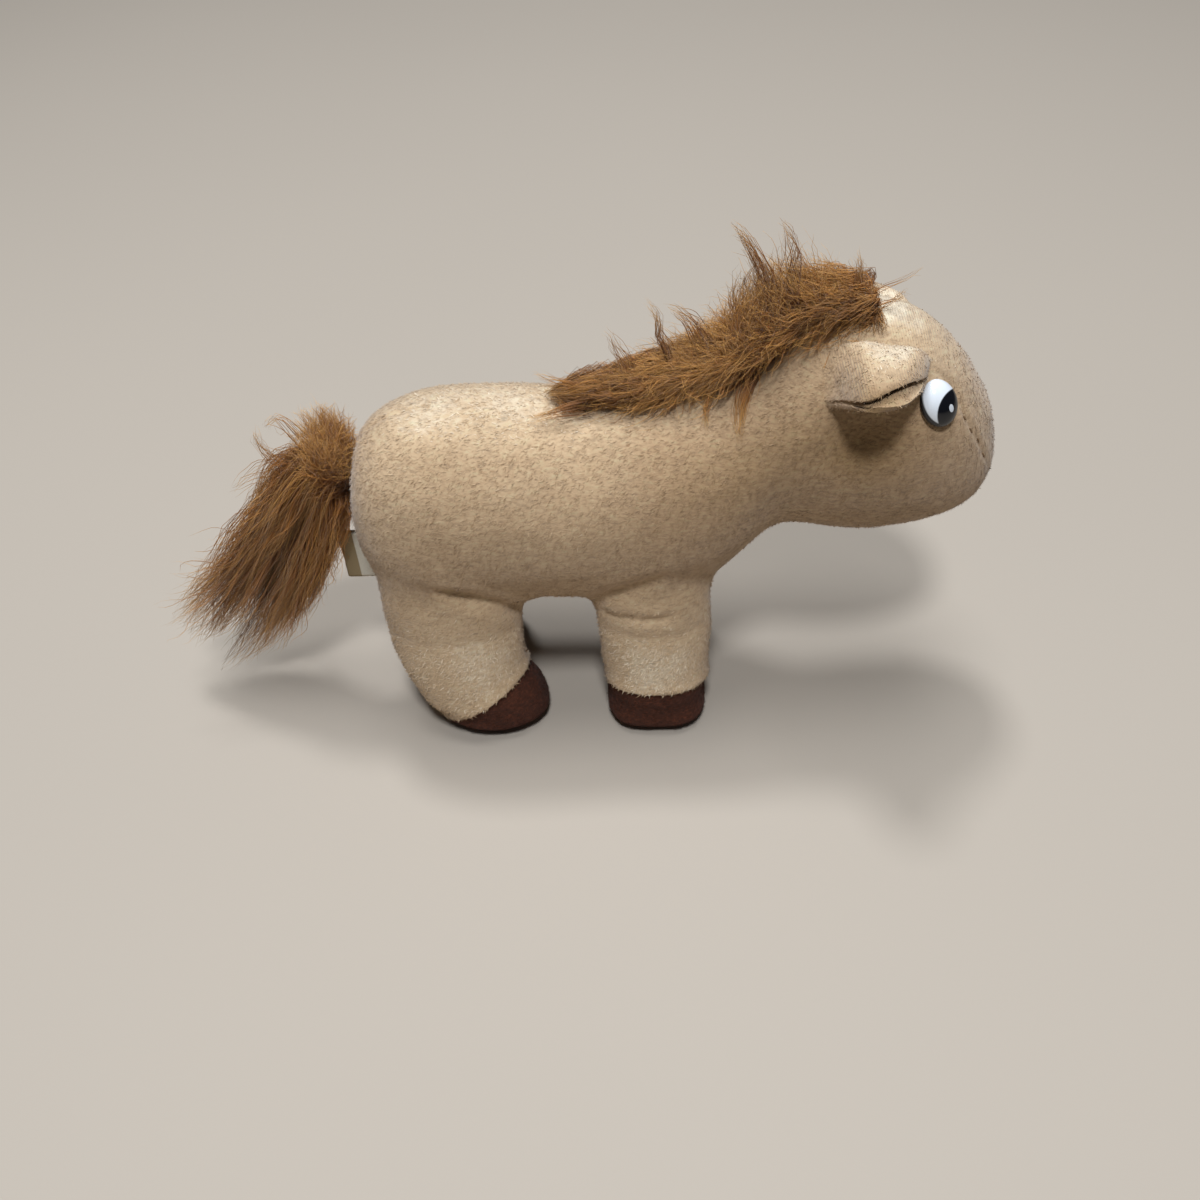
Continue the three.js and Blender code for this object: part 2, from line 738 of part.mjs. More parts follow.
// What the pile has to clear as it sways about the rump and lifts about the end of the tab
const liftPoint = new THREE.Vector3(tailRootX - tabLength, 0, tailRootZ);
const tabRoom = block(
  tabLength + overrun,
  tabWall + 2 * clearance,
  tabHeight + 2 * clearance,
  new THREE.Vector3(liftPoint.x - clearance + (tabLength + overrun) / 2, 0, tailRootZ),
);
let tailStops = trunkGrown;
for (const lift of [tailLift, tailLift / 2, 0, -tailDrop]) {
  tailStops = tailStops.add(turnedAbout(tabRoom, yAxis, liftPoint, -lift));
  for (const sway of [tailSway, 0, -tailSway]) {
    const swayed = turnedAbout(trunkGrown, zAxis, swayPoint, sway);
    tailStops = tailStops.add(turnedAbout(swayed, yAxis, liftPoint, -lift));
  }
}

function tailRod(radius, length) {
  const geometry = new THREE.CylinderGeometry(radius, radius, length, tuftSides);
  geometry.translate(0, -length / 2, 0);
  geometry.rotateX(Math.PI / 2);
  const frame = new THREE.Matrix4()
    .makeTranslation(liftPoint.x - clearance - backingRadius, 0, tailRootZ)
    .multiply(new THREE.Matrix4().makeRotationY(tailLean));
  return moved(solidOf(geometry), frame);
}

const rodRoom = tailRod(backingRadius + clearance, backingLength + clearance);
addPart('tail_backing', tailRod(backingRadius, backingLength), cloth(backingColour));
addPart('tail_pile', tailForm.subtract(tailStops).subtract(rodRoom), cloth(hairColour));

// Tag: a bare folded tape in the rear seam
const tagHinge = new THREE.Vector3(tagHingeX, 0, tagZ);
const hipPoint = new THREE.Vector3(hindX, 0, hipHeight);
let tagStops = trunk(-tagGap);
for (const leg of legs.slice(2)) {
  const hip = trunk(-tagGap).add(legForm(leg, -tagGap, legSides)).intersect(legSpace(leg, 0));
  for (const swing of [-legSwing, 0, legSwing]) {
    tagStops = tagStops.add(turnedAbout(hip, yAxis, hipPoint, swing));
  }
}
let tag = block(tagLength, tagWall, tagHeight, new THREE.Vector3(tagEndX + tagLength / 2, 0, tagZ));
for (const swing of [-tagSwing, 0, tagSwing]) {
  tag = tag.subtract(turnedAbout(tagStops, zAxis, tagHinge, swing));
}
addPart('tag', tag, cloth(tagColour));

// The origin is on the floor under the middle of the horse's outline
const outline = new THREE.Box3().setFromObject(horse);
const outlineMiddle = outline.getCenter(new THREE.Vector3());
horse.position.set(-outlineMiddle.x, -outlineMiddle.y, -outline.min.z);

export default horse;
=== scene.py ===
"""Looks of a small stuffed plush horse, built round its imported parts. Metres, +Z up, facing +X."""

import json
import math
from contextlib import contextmanager

import bmesh
import bpy
import numpy as np
from mathutils import Matrix, Vector, noise
from mathutils.bvhtree import BVHTree
from mathutils.kdtree import KDTree


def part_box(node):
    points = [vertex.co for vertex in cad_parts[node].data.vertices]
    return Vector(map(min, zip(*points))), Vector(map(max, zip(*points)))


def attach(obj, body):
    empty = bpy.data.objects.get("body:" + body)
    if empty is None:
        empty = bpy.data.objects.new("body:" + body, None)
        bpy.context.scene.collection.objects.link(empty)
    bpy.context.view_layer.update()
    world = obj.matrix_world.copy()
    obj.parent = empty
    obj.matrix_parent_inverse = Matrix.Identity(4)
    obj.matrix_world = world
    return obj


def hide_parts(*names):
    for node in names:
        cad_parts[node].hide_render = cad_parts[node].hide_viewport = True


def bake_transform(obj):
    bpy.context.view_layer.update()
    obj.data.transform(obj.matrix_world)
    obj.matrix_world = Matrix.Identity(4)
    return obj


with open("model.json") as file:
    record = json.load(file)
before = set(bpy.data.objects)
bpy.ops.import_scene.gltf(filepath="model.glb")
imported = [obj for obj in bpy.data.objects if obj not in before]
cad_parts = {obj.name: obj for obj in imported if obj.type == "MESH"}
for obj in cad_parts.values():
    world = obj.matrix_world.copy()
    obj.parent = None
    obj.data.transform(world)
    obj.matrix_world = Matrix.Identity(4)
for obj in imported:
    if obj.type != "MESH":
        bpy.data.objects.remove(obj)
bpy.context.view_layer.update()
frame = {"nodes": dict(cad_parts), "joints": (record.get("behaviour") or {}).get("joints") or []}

bl_info = {
    "name": "Plush horse",
    "version": (1, 0, 0),
    "blender": (4, 5, 0),
    "location": "View3D > Sidebar > Plush horse",
    "description": "Builds the fabric, fur, eyes and tag of a stuffed plush horse",
    "category": "Object",
}

MM = 0.001
JOINTS = {joint["name"]: joint for joint in frame["joints"]}
STRAND_MAP = "OFBake"  # the fur's own map: a strand's tone across, its length up
TONE_CELLS = 64  # tones that the map tells apart, each in a narrow cell of its own
CELL_LOW, CELL_MIDDLE, CELL_HIGH = 0.001, 0.0078, 0.0145
PALEST = 0.999  # a tone stays below 1, so that it falls in a cell

# Where the coat is parted: the neck bends about its pivot, each leg under the belly
NECK_PIVOT = Vector(JOINTS["head_nod"]["pos_m"])
NECK_WAY = Vector((math.cos(math.radians(21.5)), 0, math.sin(math.radians(21.5))))
NECK_START = NECK_PIVOT - 12 * MM * NECK_WAY
LEG_CUT = 32.5 * MM
LEG_MIDDLE_X = -6 * MM
LEG_SPREAD = 13.4 * MM

# Each leg: the hoof seam's middle and height, its toe tilt, and the side it is on
LEGS = {
    "foreleg_right": (18.454, 13.5, 0, -1),
    "foreleg_left": (18.454, 13.5, 0, 1),
    "hindleg_right": (-24.246, 9.6, 36, -1),
    "hindleg_left": (-30.246, 9.6, 10, 1),
}
HOOF_OUTER_RISE = math.radians(14)

# Folds sewn or pressed into the coat: points, depth, width and the roll beside it, in mm
FOLDS = {
    "hind_crease": ([(-33, -23, 51.4), (-28, -22.4, 50.2), (-23.6, -21, 48.2), (-18.4, -20, 44.6),
                     (-13.9, -15.9, 39.2), (-12.6, -12, 35.6)], 1.35, 1.5, 0.5),
    "fore_crease": ([(3.4, -13.1, 36.4), (7.6, -18.6, 38.2), (11.8, -21.1, 39.6), (16.8, -22.5, 39.8),
                     (20.5, -22.4, 40.2), (25, -21.6, 41.2)], 1.0, 1.3, 0.2),
    "fore_fold": ([(4.6, -12.8, 39.6), (7.1, -16.9, 43.8), (10.8, -19, 47.2), (16.7, -20.6, 51.4),
                   (22.5, -21.3, 55)], 0.75, 1.7, 0.3),
    "gusset_seam": ([(70, -9.5, 101), (75.6, -10.7, 98.1), (77.8, -10.5, 96.4), (80.1, -10.9, 93.2),
                     (81.9, -12, 89.5), (83.6, -12.6, 86.3), (85.8, -12.1, 82.2), (88.2, -11.5, 77.9),
                     (90.8, -9.2, 72.2), (90.5, -6, 66)], 0.35, 0.55, 0.1),
}
STITCHES = [(82.5, -12.6, 87.9), (84.3, -12.6, 84.7), (86.5, -11.9, 81.3), (88.7, -11, 76.7)]

EYE_PLACE = Vector((75.854, -13.6, 92.6)) * MM
# The right eye's axes: forwards in its face, up in its face, and out of it
EYE_AXES = [Vector(a) for a in ((0.8836, 0.4322, 0.1801), (-0.3626, 0.3885, 0.8471), (0.2962, -0.8138, 0.5))]
EYE_HALF = (4.0, 5.0, 3.0)
PUPIL = ((1.9, -2.2), 4.18)
GLINT = ((0.95, -1.33), (0.55, 0.85))


# Helpers

def only(*objects):
    bpy.ops.object.select_all(action="DESELECT")
    for obj in objects:
        obj.select_set(True)
    bpy.context.view_layer.objects.active = objects[0]


def dressed(obj, finish, stands_for=None):
    """Gives a piece its finish, and hides the node it stands for."""
    obj.data.materials.append(finish)
    if stands_for:
        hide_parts(stands_for)


def add_modifier(obj, kind, **values):
    modifier = obj.modifiers.new(kind.title(), kind)
    for key, value in values.items():
        setattr(modifier, key, value)
    return modifier


def apply_modifiers(obj):
    only(obj)
    for modifier in list(obj.modifiers):
        bpy.ops.object.modifier_apply(modifier=modifier.name)


def points_of(obj):
    points = np.zeros(len(obj.data.vertices) * 3)
    obj.data.vertices.foreach_get("co", points)
    return points.reshape(-1, 3)


def set_points(obj, points):
    obj.data.vertices.foreach_set("co", np.asarray(points, float).ravel())
    obj.data.update()


def normals_of(obj):
    normals = np.zeros(len(obj.data.vertices) * 3)
    obj.data.vertex_normals.foreach_get("vector", normals)
    return normals.reshape(-1, 3)


def edges_of(obj):
    edges = np.zeros(len(obj.data.edges) * 2, int)
    obj.data.edges.foreach_get("vertices", edges)
    return edges.reshape(-1, 2)


def link(name, mesh):
    obj = bpy.data.objects.new(name, mesh)
    bpy.context.scene.collection.objects.link(obj)
    return obj


def named(obj, name):
    obj.name = obj.data.name = name
    return obj


def added(kind, **values):
    """A new primitive, with nothing else selected."""
    bpy.ops.object.select_all(action="DESELECT")
    getattr(bpy.ops.mesh, f"primitive_{kind}_add")(**values)
    return bpy.context.object


@contextmanager
def opened(obj):
    """An object's mesh as a bmesh, which is written back at the end."""
    build = bmesh.new()
    build.from_mesh(obj.data)
    yield build
    build.to_mesh(obj.data)
    build.free()


def edited(obj, *steps):
    """Runs mesh operators on all of one object in edit mode, each given with its values."""
    only(obj)
    bpy.ops.object.mode_set(mode="EDIT")
    bpy.ops.mesh.select_all(action="SELECT")
    for step, values in steps:
        step(**values)
    bpy.ops.object.mode_set(mode="OBJECT")


def object_of(name, points, faces):
    """A new object from points and faces that all have the same number of corners."""
    faces = np.asarray(faces)
    mesh = bpy.data.meshes.new(name)
    mesh.vertices.add(len(points))
    mesh.vertices.foreach_set("co", np.asarray(points, float).ravel())
    mesh.loops.add(faces.size)
    mesh.loops.foreach_set("vertex_index", faces.ravel())
    mesh.polygons.add(len(faces))
    mesh.polygons.foreach_set("loop_start", np.arange(0, faces.size, faces.shape[1]))
    mesh.update(calc_edges=True)
    mesh.validate()
    smooth(mesh)
    return link(name, mesh)


def smooth(mesh):
    mesh.polygons.foreach_set("use_smooth", np.ones(len(mesh.polygons), bool))


def unit(vectors):
    return vectors / np.maximum(np.linalg.norm(vectors, axis=-1, keepdims=True), 1e-12)


def relax(points, edges, step):
    """Moves each point by a share of the way to the middle of its neighbours."""
    total, count = np.zeros_like(points), np.zeros(len(points))
    for a, b in ((0, 1), (1, 0)):
        np.add.at(total, edges[:, a], points[edges[:, b]])
        np.add.at(count, edges[:, a], 1)
    return points + step * (total / np.maximum(count, 1)[:, None] - points)


def round_off(obj, rounds):
    """Evens out facets and keeps the size."""
    points, edges = points_of(obj), edges_of(obj)
    for _ in range(rounds):
        points = relax(relax(points, edges, 0.5), edges, -0.53)
    set_points(obj, points)


def bumps(points, size, seed):
    """Smooth noise from -1 to 1 at each point, with features of about that size."""
    offset = Vector((seed * 7.31, seed * 3.17, seed * 5.73))
    return np.array([noise.noise(Vector(p) / size + offset) for p in points])


def tree_of(obj):
    return BVHTree.FromObject(obj, bpy.context.evaluated_depsgraph_get())


def merged_copy(name, nodes):
    """One new object from copies of CAD nodes, with their loose triangles joined up."""
    mesh = bpy.data.meshes.new(name)
    build = bmesh.new()
    for node in nodes:
        build.from_mesh(frame["nodes"][node].data)
    bmesh.ops.remove_doubles(build, verts=build.verts, dist=1e-7)
    for face in build.faces:
        face.material_index = 0
    build.to_mesh(mesh)
    build.free()
    return link(name, mesh)


def keep_largest_shell(obj):
    points, edges = points_of(obj), edges_of(obj)
    shell = np.arange(len(points))
    while True:
        low = np.minimum(shell[edges[:, 0]], shell[edges[:, 1]])
        new = shell.copy()
        np.minimum.at(new, edges[:, 0], low)
        np.minimum.at(new, edges[:, 1], low)
        new = new[new]
        if (new == shell).all():
            break
        shell = new
    kept = np.bincount(shell).argmax()
    with opened(obj) as build:
        build.verts.ensure_lookup_table()
        bmesh.ops.delete(build, geom=[v for v in build.verts if shell[v.index] != kept], context="VERTS")


def sheet_grid(name, across, along, place):
    """A grid added as a primitive, with each corner moved to place(u, v); u and v run from 0 to 1."""
    obj = named(added("grid", x_subdivisions=across, y_subdivisions=along, size=1, location=(0, 0, 0)), name)
    set_points(obj, [place(x + 0.5, y + 0.5) for x, y, _ in points_of(obj)])
    smooth(obj.data)
    return obj


def face_out(obj):
    """Merges doubles and turns every face outwards."""
    edited(obj, (bpy.ops.mesh.remove_doubles, {"threshold": 1e-7}),
           (bpy.ops.mesh.normals_make_consistent, {"inside": False}))


def drop(obj):
    bpy.data.objects.remove(obj, do_unlink=True)


# Materials

def grey(value):
    return value, value, value, 1


def waves_of(pitch):
    """The scale of a Wave texture whose waves lie that far apart, in metres."""
    return 1 / pitch / (2 * math.pi) * 3.14159


def linear(srgb):
    return tuple(c / 12.92 if c <= 0.04045 else ((c + 0.055) / 1.055) ** 2.4 for c in srgb) + (1.0,)


def of_255(*rgb):
    return tuple(c / 255 for c in rgb)


class Finish:
    """A material with one Principled shader, and shortcuts to add its nodes."""

    def __init__(self, name, roughness, **sockets):
        self.material = bpy.data.materials.new(name)
        self.material.use_nodes = True
        self.tree = self.material.node_tree
        self.shader = self.tree.nodes["Principled BSDF"]
        self.set(self.shader, Roughness=roughness, **sockets)

    def set(self, node, **sockets):
        for key, value in sockets.items():
            node.inputs[key.replace("_", " ")].default_value = value

    def node(self, kind, **values):
        node = self.tree.nodes.new("ShaderNode" + kind)
        for key, value in values.items():
            setattr(node, key, value)
        return node

    def link(self, a, b):
        self.tree.links.new(a, b)

    def coords(self, scale=(1, 1, 1), turn=(0, 0, 0)):
        place = self.node("TexCoord")
        mapping = self.node("Mapping")
        mapping.inputs["Scale"].default_value = scale
        mapping.inputs["Rotation"].default_value = turn
        self.link(place.outputs["Object"], mapping.inputs["Vector"])
        return mapping.outputs["Vector"]

    def noise(self, vector, scale, detail=2.0, rough=0.5):
        tex = self.node("TexNoise")
        self.set(tex, Scale=scale, Detail=detail, Roughness=rough)
        self.link(vector, tex.inputs["Vector"])
        return tex.outputs["Fac"]

    def ramp(self, value, stops, sharp=False):
        ramp = self.node("ValToRGB")
        ramp.color_ramp.interpolation = "CONSTANT" if sharp else "LINEAR"
        elements = ramp.color_ramp.elements
        while len(elements) < len(stops):
            elements.new(0.5)
        for element, (at, colour) in zip(elements, stops):
            element.position = at
            element.color = colour if len(colour) == 4 else linear(colour)
        self.link(value, ramp.inputs["Fac"])
        return ramp.outputs["Color"]

    def mix(self, kind, factor, a, b):
        mix = self.node("MixRGB", blend_type=kind)
        for socket, value in zip(("Fac", "Color1", "Color2"), (factor, a, b)):
            if isinstance(value, bpy.types.NodeSocket):
                self.link(value, mix.inputs[socket])
            else:
                mix.inputs[socket].default_value = value
        return mix.outputs["Color"]

    def math(self, kind, a, b=0.0):
        node = self.node("Math", operation=kind)
        for index, value in enumerate((a, b)):
            if isinstance(value, bpy.types.NodeSocket):
                self.link(value, node.inputs[index])
            else:
                node.inputs[index].default_value = value
        return node.outputs["Value"]

    def colour(self, socket):
        self.link(socket, self.shader.inputs["Base Color"])

    def bump(self, height, distance, strength=1.0):
        bump = self.node("Bump")
        self.set(bump, Strength=strength, Distance=distance)
        self.link(height, bump.inputs["Height"])
        self.link(bump.outputs["Normal"], self.shader.inputs["Normal"])


def shade(rgb, share):
    return tuple(min(1.0, c * share) for c in rgb)


# The coat's tones, from darkest to palest: they colour the stored tones, which carry painted light and shade
COAT_TONES_AND_SHADE = [(0.0, (0.2, 0.12, 0.05, 1)), (0.2, (0.315, 0.215, 0.115, 1)), (0.5, (0.475, 0.35, 0.24, 1)),
              (0.8, (0.66, 0.535, 0.405, 1)), (0.9, (0.8, 0.74, 0.66, 1)), (1.0, (0.96, 0.93, 0.86, 1))]


KNIT_RIB = 0.8 * MM


def knit_finish(rgb):
    """Short-pile knit: slanted streaks of pile, pressed patches, a few dark flecks, and painted light and
    shade from the stored tones.
    """
    f = Finish("short_pile_knit", 0.92, Sheen_Weight=0.25, Sheen_Roughness=0.6, Specular_IOR_Level=0.2)
    slanted = f.coords(scale=(1, 1, 3.2), turn=(0, math.radians(28), 0))
    streaks = f.noise(slanted, 520, 3.0, 0.6)
    grain = f.noise(f.coords(), 1150, 2.0, 0.6)
    patches = f.noise(f.coords(), 62, 3.0, 0.55)
    base = f.ramp(streaks, [(0.28, shade(rgb, 0.84)), (0.5, rgb), (0.75, shade(rgb, 1.09))])
    worn = f.ramp(patches, [(0.3, grey(0.9)), (0.7, grey(1))])
    base = f.mix("MULTIPLY", 1.0, base, worn)
    # The stored tones are painted light and shade: paler on top, darker on the neck, jaw and under the ears
    tone = f.node("Attribute", attribute_name="tone").outputs["Fac"]
    base = f.mix("MULTIPLY", 1.0, base, f.ramp(tone, COAT_TONES_AND_SHADE))
    cells = f.node("TexVoronoi")
    f.set(cells, Scale=95)
    f.link(f.coords(), cells.inputs["Vector"])
    flecks = [(0, (0.45, 0.36, 0.26, 1)), (0.035, (0.5, 0.4, 0.3, 1)), (0.05, grey(1))]
    fleck = f.ramp(cells.outputs["Distance"], flecks)
    f.colour(f.mix("MULTIPLY", 0.6, base, fleck))
    height = f.mix("MIX", 0.45, streaks, grain)
    # The knit's ribs show over the forehead
    ribs = f.node("TexWave", bands_direction="X")
    f.set(ribs, Scale=waves_of(KNIT_RIB), Distortion=0.8, Detail=1.0)
    f.link(f.coords(turn=(0, math.radians(14), 0)), ribs.inputs["Vector"])
    parts = f.node("SeparateXYZ")
    f.link(f.coords(), parts.inputs["Vector"])
    high = f.ramp(f.math("MULTIPLY", parts.outputs["Z"], 5.0), [(0.49, grey(0)), (0.52, grey(1))])
    ahead = f.ramp(f.math("MULTIPLY", parts.outputs["X"], 8.0), [(0.38, grey(0)), (0.44, grey(1))])
    share = f.math("MULTIPLY", f.math("MULTIPLY", high, ahead), 0.4)
    height = f.mix("MIX", share, height, ribs.outputs["Fac"])
    f.bump(height, 0.00035, 0.55)
    return f.material


def strand_finish(name, root, middle, tip, tones, roughness, **sockets):
    """Pile and fur: colour runs from a strand's root to its tip, and each strand has a tone of its own."""
    f = Finish(name, roughness, **sockets)
    place = f.node("UVMap", uv_map=STRAND_MAP)
    parts = f.node("SeparateXYZ")
    f.link(place.outputs["UV"], parts.inputs["Vector"])
    along = f.ramp(parts.outputs["Y"], [(0.0, root), (0.45, middle), (1.0, tip)])
    tone = f.ramp(parts.outputs["X"], tones)
    f.colour(f.mix("MULTIPLY", 1.0, along, tone))
    return f.material


def felt_finish(rgb):
    f = Finish("hoof_felt", 0.95, Sheen_Weight=0.04, Sheen_Roughness=0.7, Specular_IOR_Level=0.1)
    fibres = f.noise(f.coords(scale=(1, 1, 1.6)), 900, 4.0, 0.7)
    patches = f.noise(f.coords(), 150, 2.0)
    base = f.ramp(fibres, [(0.3, shade(rgb, 0.7)), (0.55, rgb), (0.8, shade(rgb, 1.5))])
    f.colour(f.mix("MULTIPLY", 0.5, base, f.ramp(patches, [(0.3, grey(0.75)), (0.7, grey(1))])))
    f.bump(fibres, 0.0004, 0.7)
    return f.material


def weave_finish(name, rgb, pitch, turn=(0, 0, 0)):
    """Plain weave: two sets of threads that cross."""
    f = Finish(name, 0.8, Specular_IOR_Level=0.3)
    vector = f.coords(turn=turn)
    waves = []
    for direction in ("X", "Z"):
        wave = f.node("TexWave", bands_direction=direction)
        f.set(wave, Scale=waves_of(pitch), Distortion=0.6, Detail=1.0)
        f.link(vector, wave.inputs["Vector"])
        waves.append(wave.outputs["Fac"])
    height = f.mix("OVERLAY", 0.7, waves[0], waves[1])
    f.colour(f.ramp(height, [(0.0, shade(rgb, 0.72)), (0.6, rgb), (1.0, shade(rgb, 1.08))]))
    f.bump(height, 0.00012, 0.6)
    return f.material


def stuffing_finish():
    f = Finish("fibre_stuffing", 1.0, Sheen_Weight=0.2)
    tufts = f.noise(f.coords(), 400, 5.0, 0.7)
    f.colour(f.ramp(tufts, [(0.3, of_255(205, 202, 194)), (0.7, of_255(246, 244, 238))]))
    f.bump(tufts, 0.0012, 0.8)
    return f.material


def thread_finish(rgb):
    f = Finish("sewing_thread", 0.6)
    ply = f.noise(f.coords(), 3000, 2.0)
    f.colour(f.ramp(ply, [(0.3, shade(rgb, 0.7)), (0.7, rgb)]))
    f.bump(ply, 0.0001, 0.6)
    return f.material


def washer_finish():
    f = Finish("washer_plastic", 0.45)
    flow = f.noise(f.coords(), 300, 3.0)
    f.colour(f.ramp(flow, [(0.3, of_255(205, 203, 196)), (0.7, of_255(222, 220, 214))]))
    f.bump(flow, 0.0001, 0.3)
    return f.material


def eye_finish(side):
    """Glossy eye: white, with a black pupil, a white glint and a thin black rim, in the eye's plane."""
    word = "right" if side < 0 else "left"
    f = Finish("eye_plastic_" + word, 0.12, Specular_IOR_Level=0.4, Coat_Weight=0.12, Coat_Roughness=0.04)
    place = f.node("TexCoord").outputs["Object"]
    centre = Vector((EYE_PLACE.x, -side * EYE_PLACE.y, EYE_PLACE.z))
    axes = [Vector((a.x, -side * a.y, a.z)) for a in EYE_AXES[:2]]
    flat = []
    for axis in axes:
        dot = f.node("VectorMath", operation="DOT_PRODUCT")
        f.link(place, dot.inputs[0])
        dot.inputs[1].default_value = axis / MM
        flat.append(f.math("SUBTRACT", dot.outputs["Value"], axis.dot(centre) / MM))

    def oval(middle, half):
        total = None
        for value, at, size in zip(flat, middle, half):
            part = f.math("DIVIDE", f.math("SUBTRACT", value, at), size)
            part = f.math("MULTIPLY", part, part)
            total = part if total is None else f.math("ADD", total, part)
        return f.math("SQRT", total)

    edge = 0.012
    white = of_255(226, 231, 236)
    black = of_255(16, 17, 22)

    def inside(value, limit):
        return f.ramp(f.math("DIVIDE", value, 2 * limit), [(0.5 - edge, grey(1)), (0.5 + edge, grey(0))])

    pupil = inside(oval(PUPIL[0], (PUPIL[1], PUPIL[1])), 1.0)
    glint = inside(oval(*GLINT), 1.0)
    rim = inside(oval((0.25, 0.5), EYE_HALF[:2]), 0.965)
    wear = f.noise(f.coords(), 900, 2.0)
    clean = f.mix("MIX", f.math("MULTIPLY", wear, 0.12), linear(white), linear(shade(white, 0.85)))
    colour = f.mix("MIX", rim, linear(black), clean)
    colour = f.mix("MIX", pupil, colour, linear(black))
    f.colour(f.mix("MIX", glint, colour, linear(shade(white, 0.95))))
    return f.material


def floor_finish(rgb):
    f = Finish("pale_floor", 0.75, Specular_IOR_Level=0.25)
    spread = f.noise(f.coords(), 2.5, 2.0)
    f.colour(f.ramp(spread, [(0.3, shade(rgb, 0.985)), (0.7, rgb)]))
    return f.material


# Settings

def size_property(name, description, millimetres, low=0.0, high=1.0):
    return bpy.props.FloatProperty(
        name=name, description=description, default=millimetres * MM, min=low, max=high, unit="LENGTH",
        precision=5)


def colour_property(name, description, *rgb):
    return bpy.props.FloatVectorProperty(
        name=name, description=description, default=of_255(*rgb), min=0, max=1, size=3, subtype="COLOR_GAMMA")


def power_property(name, description, default):
    return bpy.props.FloatProperty(name=name, description=description, default=default, unit="POWER")


def count_property(name, description, default):
    return bpy.props.IntProperty(name=name, description=description, default=default, min=0)


class CoatSettings(bpy.types.PropertyGroup):
    wall: size_property("Fabric wall", "Thickness of the knit with its backing", 1.1)
    mesh_size: size_property("Mesh size", "Edge of the faces that the coat is first made of", 2.8)
    puff: size_property("Puff", "Most that the stuffing may push the fabric out", 0.9)
    pile_length: size_property("Pile length", "Length of the short pile", 1.25)
    pile_width: size_property("Pile width", "Width of one clump of the short pile", 0.3)
    pile_density: bpy.props.FloatProperty(
        name="Pile density", description="Clumps of pile on a square millimetre", default=2.7, min=0)
    colour: colour_property("Coat", "Colour of the short pile", 249, 235, 213)
    hoof_colour: colour_property("Hooves", "Colour of the hoof felt", 82, 45, 30)
    thread_colour: colour_property("Thread", "Colour of the sewing thread", 150, 118, 84)


class FurSettings(bpy.types.PropertyGroup):
    thickness: size_property("Strand thickness", "Thickness of one strand of the long pile", 0.13)
    mane_strands: count_property("Mane strands", "Strands in the whole mane", 8200)
    tail_strands: count_property("Tail strands", "Strands in the tail", 3900)
    root_colour: colour_property("Roots", "Colour of the fur at its roots", 84, 48, 18)
    colour: colour_property("Fur", "Colour along most of the fur", 163, 106, 46)
    tip_colour: colour_property("Tips", "Colour of the fur at its tips", 212, 162, 92)


class TagSettings(bpy.types.PropertyGroup):
    thickness: size_property("Tape", "Thickness of the tag's tape", 0.22)
    colour: colour_property("Tag", "Colour of the tape", 238, 230, 212)
    # Painted shadow: the tag's folded end is coloured darker, standing in for the tail's shadow on it
    end_shadow_colour: colour_property("Tag's hem", "Colour of its folded end", 172, 152, 116)


class StageSettings(bpy.types.PropertyGroup):
    floor_colour: colour_property("Floor", "Colour of the floor", 182, 171, 157)
    front_power: power_property("Front light", "Power of the lamp over the horse's right side", 8.4)
    rear_power: power_property("Rear light", "Power of the lamp over its left side", 6.0)
    lamp_size: size_property("Lamp size", "Width of each lamp", 180)
    top_power: power_property("Top light", "Power of the wide soft light overhead", 9.2)
    fill: bpy.props.FloatProperty(
        name="Fill", description="Strength of the light from all round", default=0.045)


class HorseSettings(bpy.types.PropertyGroup):
    coat: bpy.props.PointerProperty(type=CoatSettings)
    fur: bpy.props.PointerProperty(type=FurSettings)
    tag: bpy.props.PointerProperty(type=TagSettings)
    stage: bpy.props.PointerProperty(type=StageSettings)


# What one operator leaves for the next
made = {}


# Coat

def swell(obj, most):
    """Lets the stuffing press the fabric out, by a cloth simulation with pressure and no gravity."""
    before = points_of(obj)
    cloth = obj.modifiers.new("Cloth", "CLOTH")
    cloth.settings.quality = 5
    cloth.settings.use_pressure = True
    cloth.settings.uniform_pressure_force = 4
    cloth.settings.effector_weights.gravity = 0
    scene = bpy.context.scene
    for step in range(1, 21):
        scene.frame_set(step)
    apply_modifiers(obj)
    scene.frame_set(1)
    moved = points_of(obj) - before
    length = np.linalg.norm(moved, axis=1, keepdims=True)
    set_points(obj, before + moved * np.minimum(1, most / np.maximum(length, 1e-12)))


def carve(points, tree, mirror=False):
    """Presses each fold into the coat along its line, with a soft roll on both sides."""
    moved = np.zeros(len(points))
    for line, depth, width, roll in FOLDS.values():
        line = [tree.find_nearest(Vector((x, -y if mirror else y, z)) * MM)[0] for x, y, z in line]
        line = np.array(line)
        reach = 6 * width * MM
        near = np.where(((points > line.min(0) - reach) & (points < line.max(0) + reach)).all(1))[0]
        if not len(near):
            continue
        here = points[near]
        best, at = np.full(len(near), 1e9), np.zeros(len(near))
        for index in range(len(line) - 1):
            a, step = line[index], line[index + 1] - line[index]
            t = np.clip(((here - a) @ step) / (step @ step), 0, 1)
            away = np.linalg.norm(here - a - t[:, None] * step, axis=1)
            closer = away < best
            best[closer], at[closer] = away[closer], (index + t[closer]) / (len(line) - 1)
        fade = np.clip(np.minimum(at, 1 - at) / 0.22, 0, 1)
        fade = fade * fade * (3 - 2 * fade)
        r = best / (width * MM)
        moved[near] += fade * (-depth * np.exp(-r ** 2) + roll * np.exp(-((r - 2.6) / 1.2) ** 2)) * MM
    return moved


def hoof_plane(leg):
    x, z, tilt, side = LEGS[leg]
    tilt = math.radians(tilt)
    rise = math.sin(HOOF_OUTER_RISE)
    level = math.cos(HOOF_OUTER_RISE)
    middle = Vector((x * MM, side * LEG_SPREAD, z * MM))
    return middle, Vector((-level * math.sin(tilt), -side * rise, level * math.cos(tilt)))


def leg_at(x, y):
    return ("fore" if x > LEG_MIDDLE_X else "hind") + "leg_" + ("right" if y < 0 else "left")


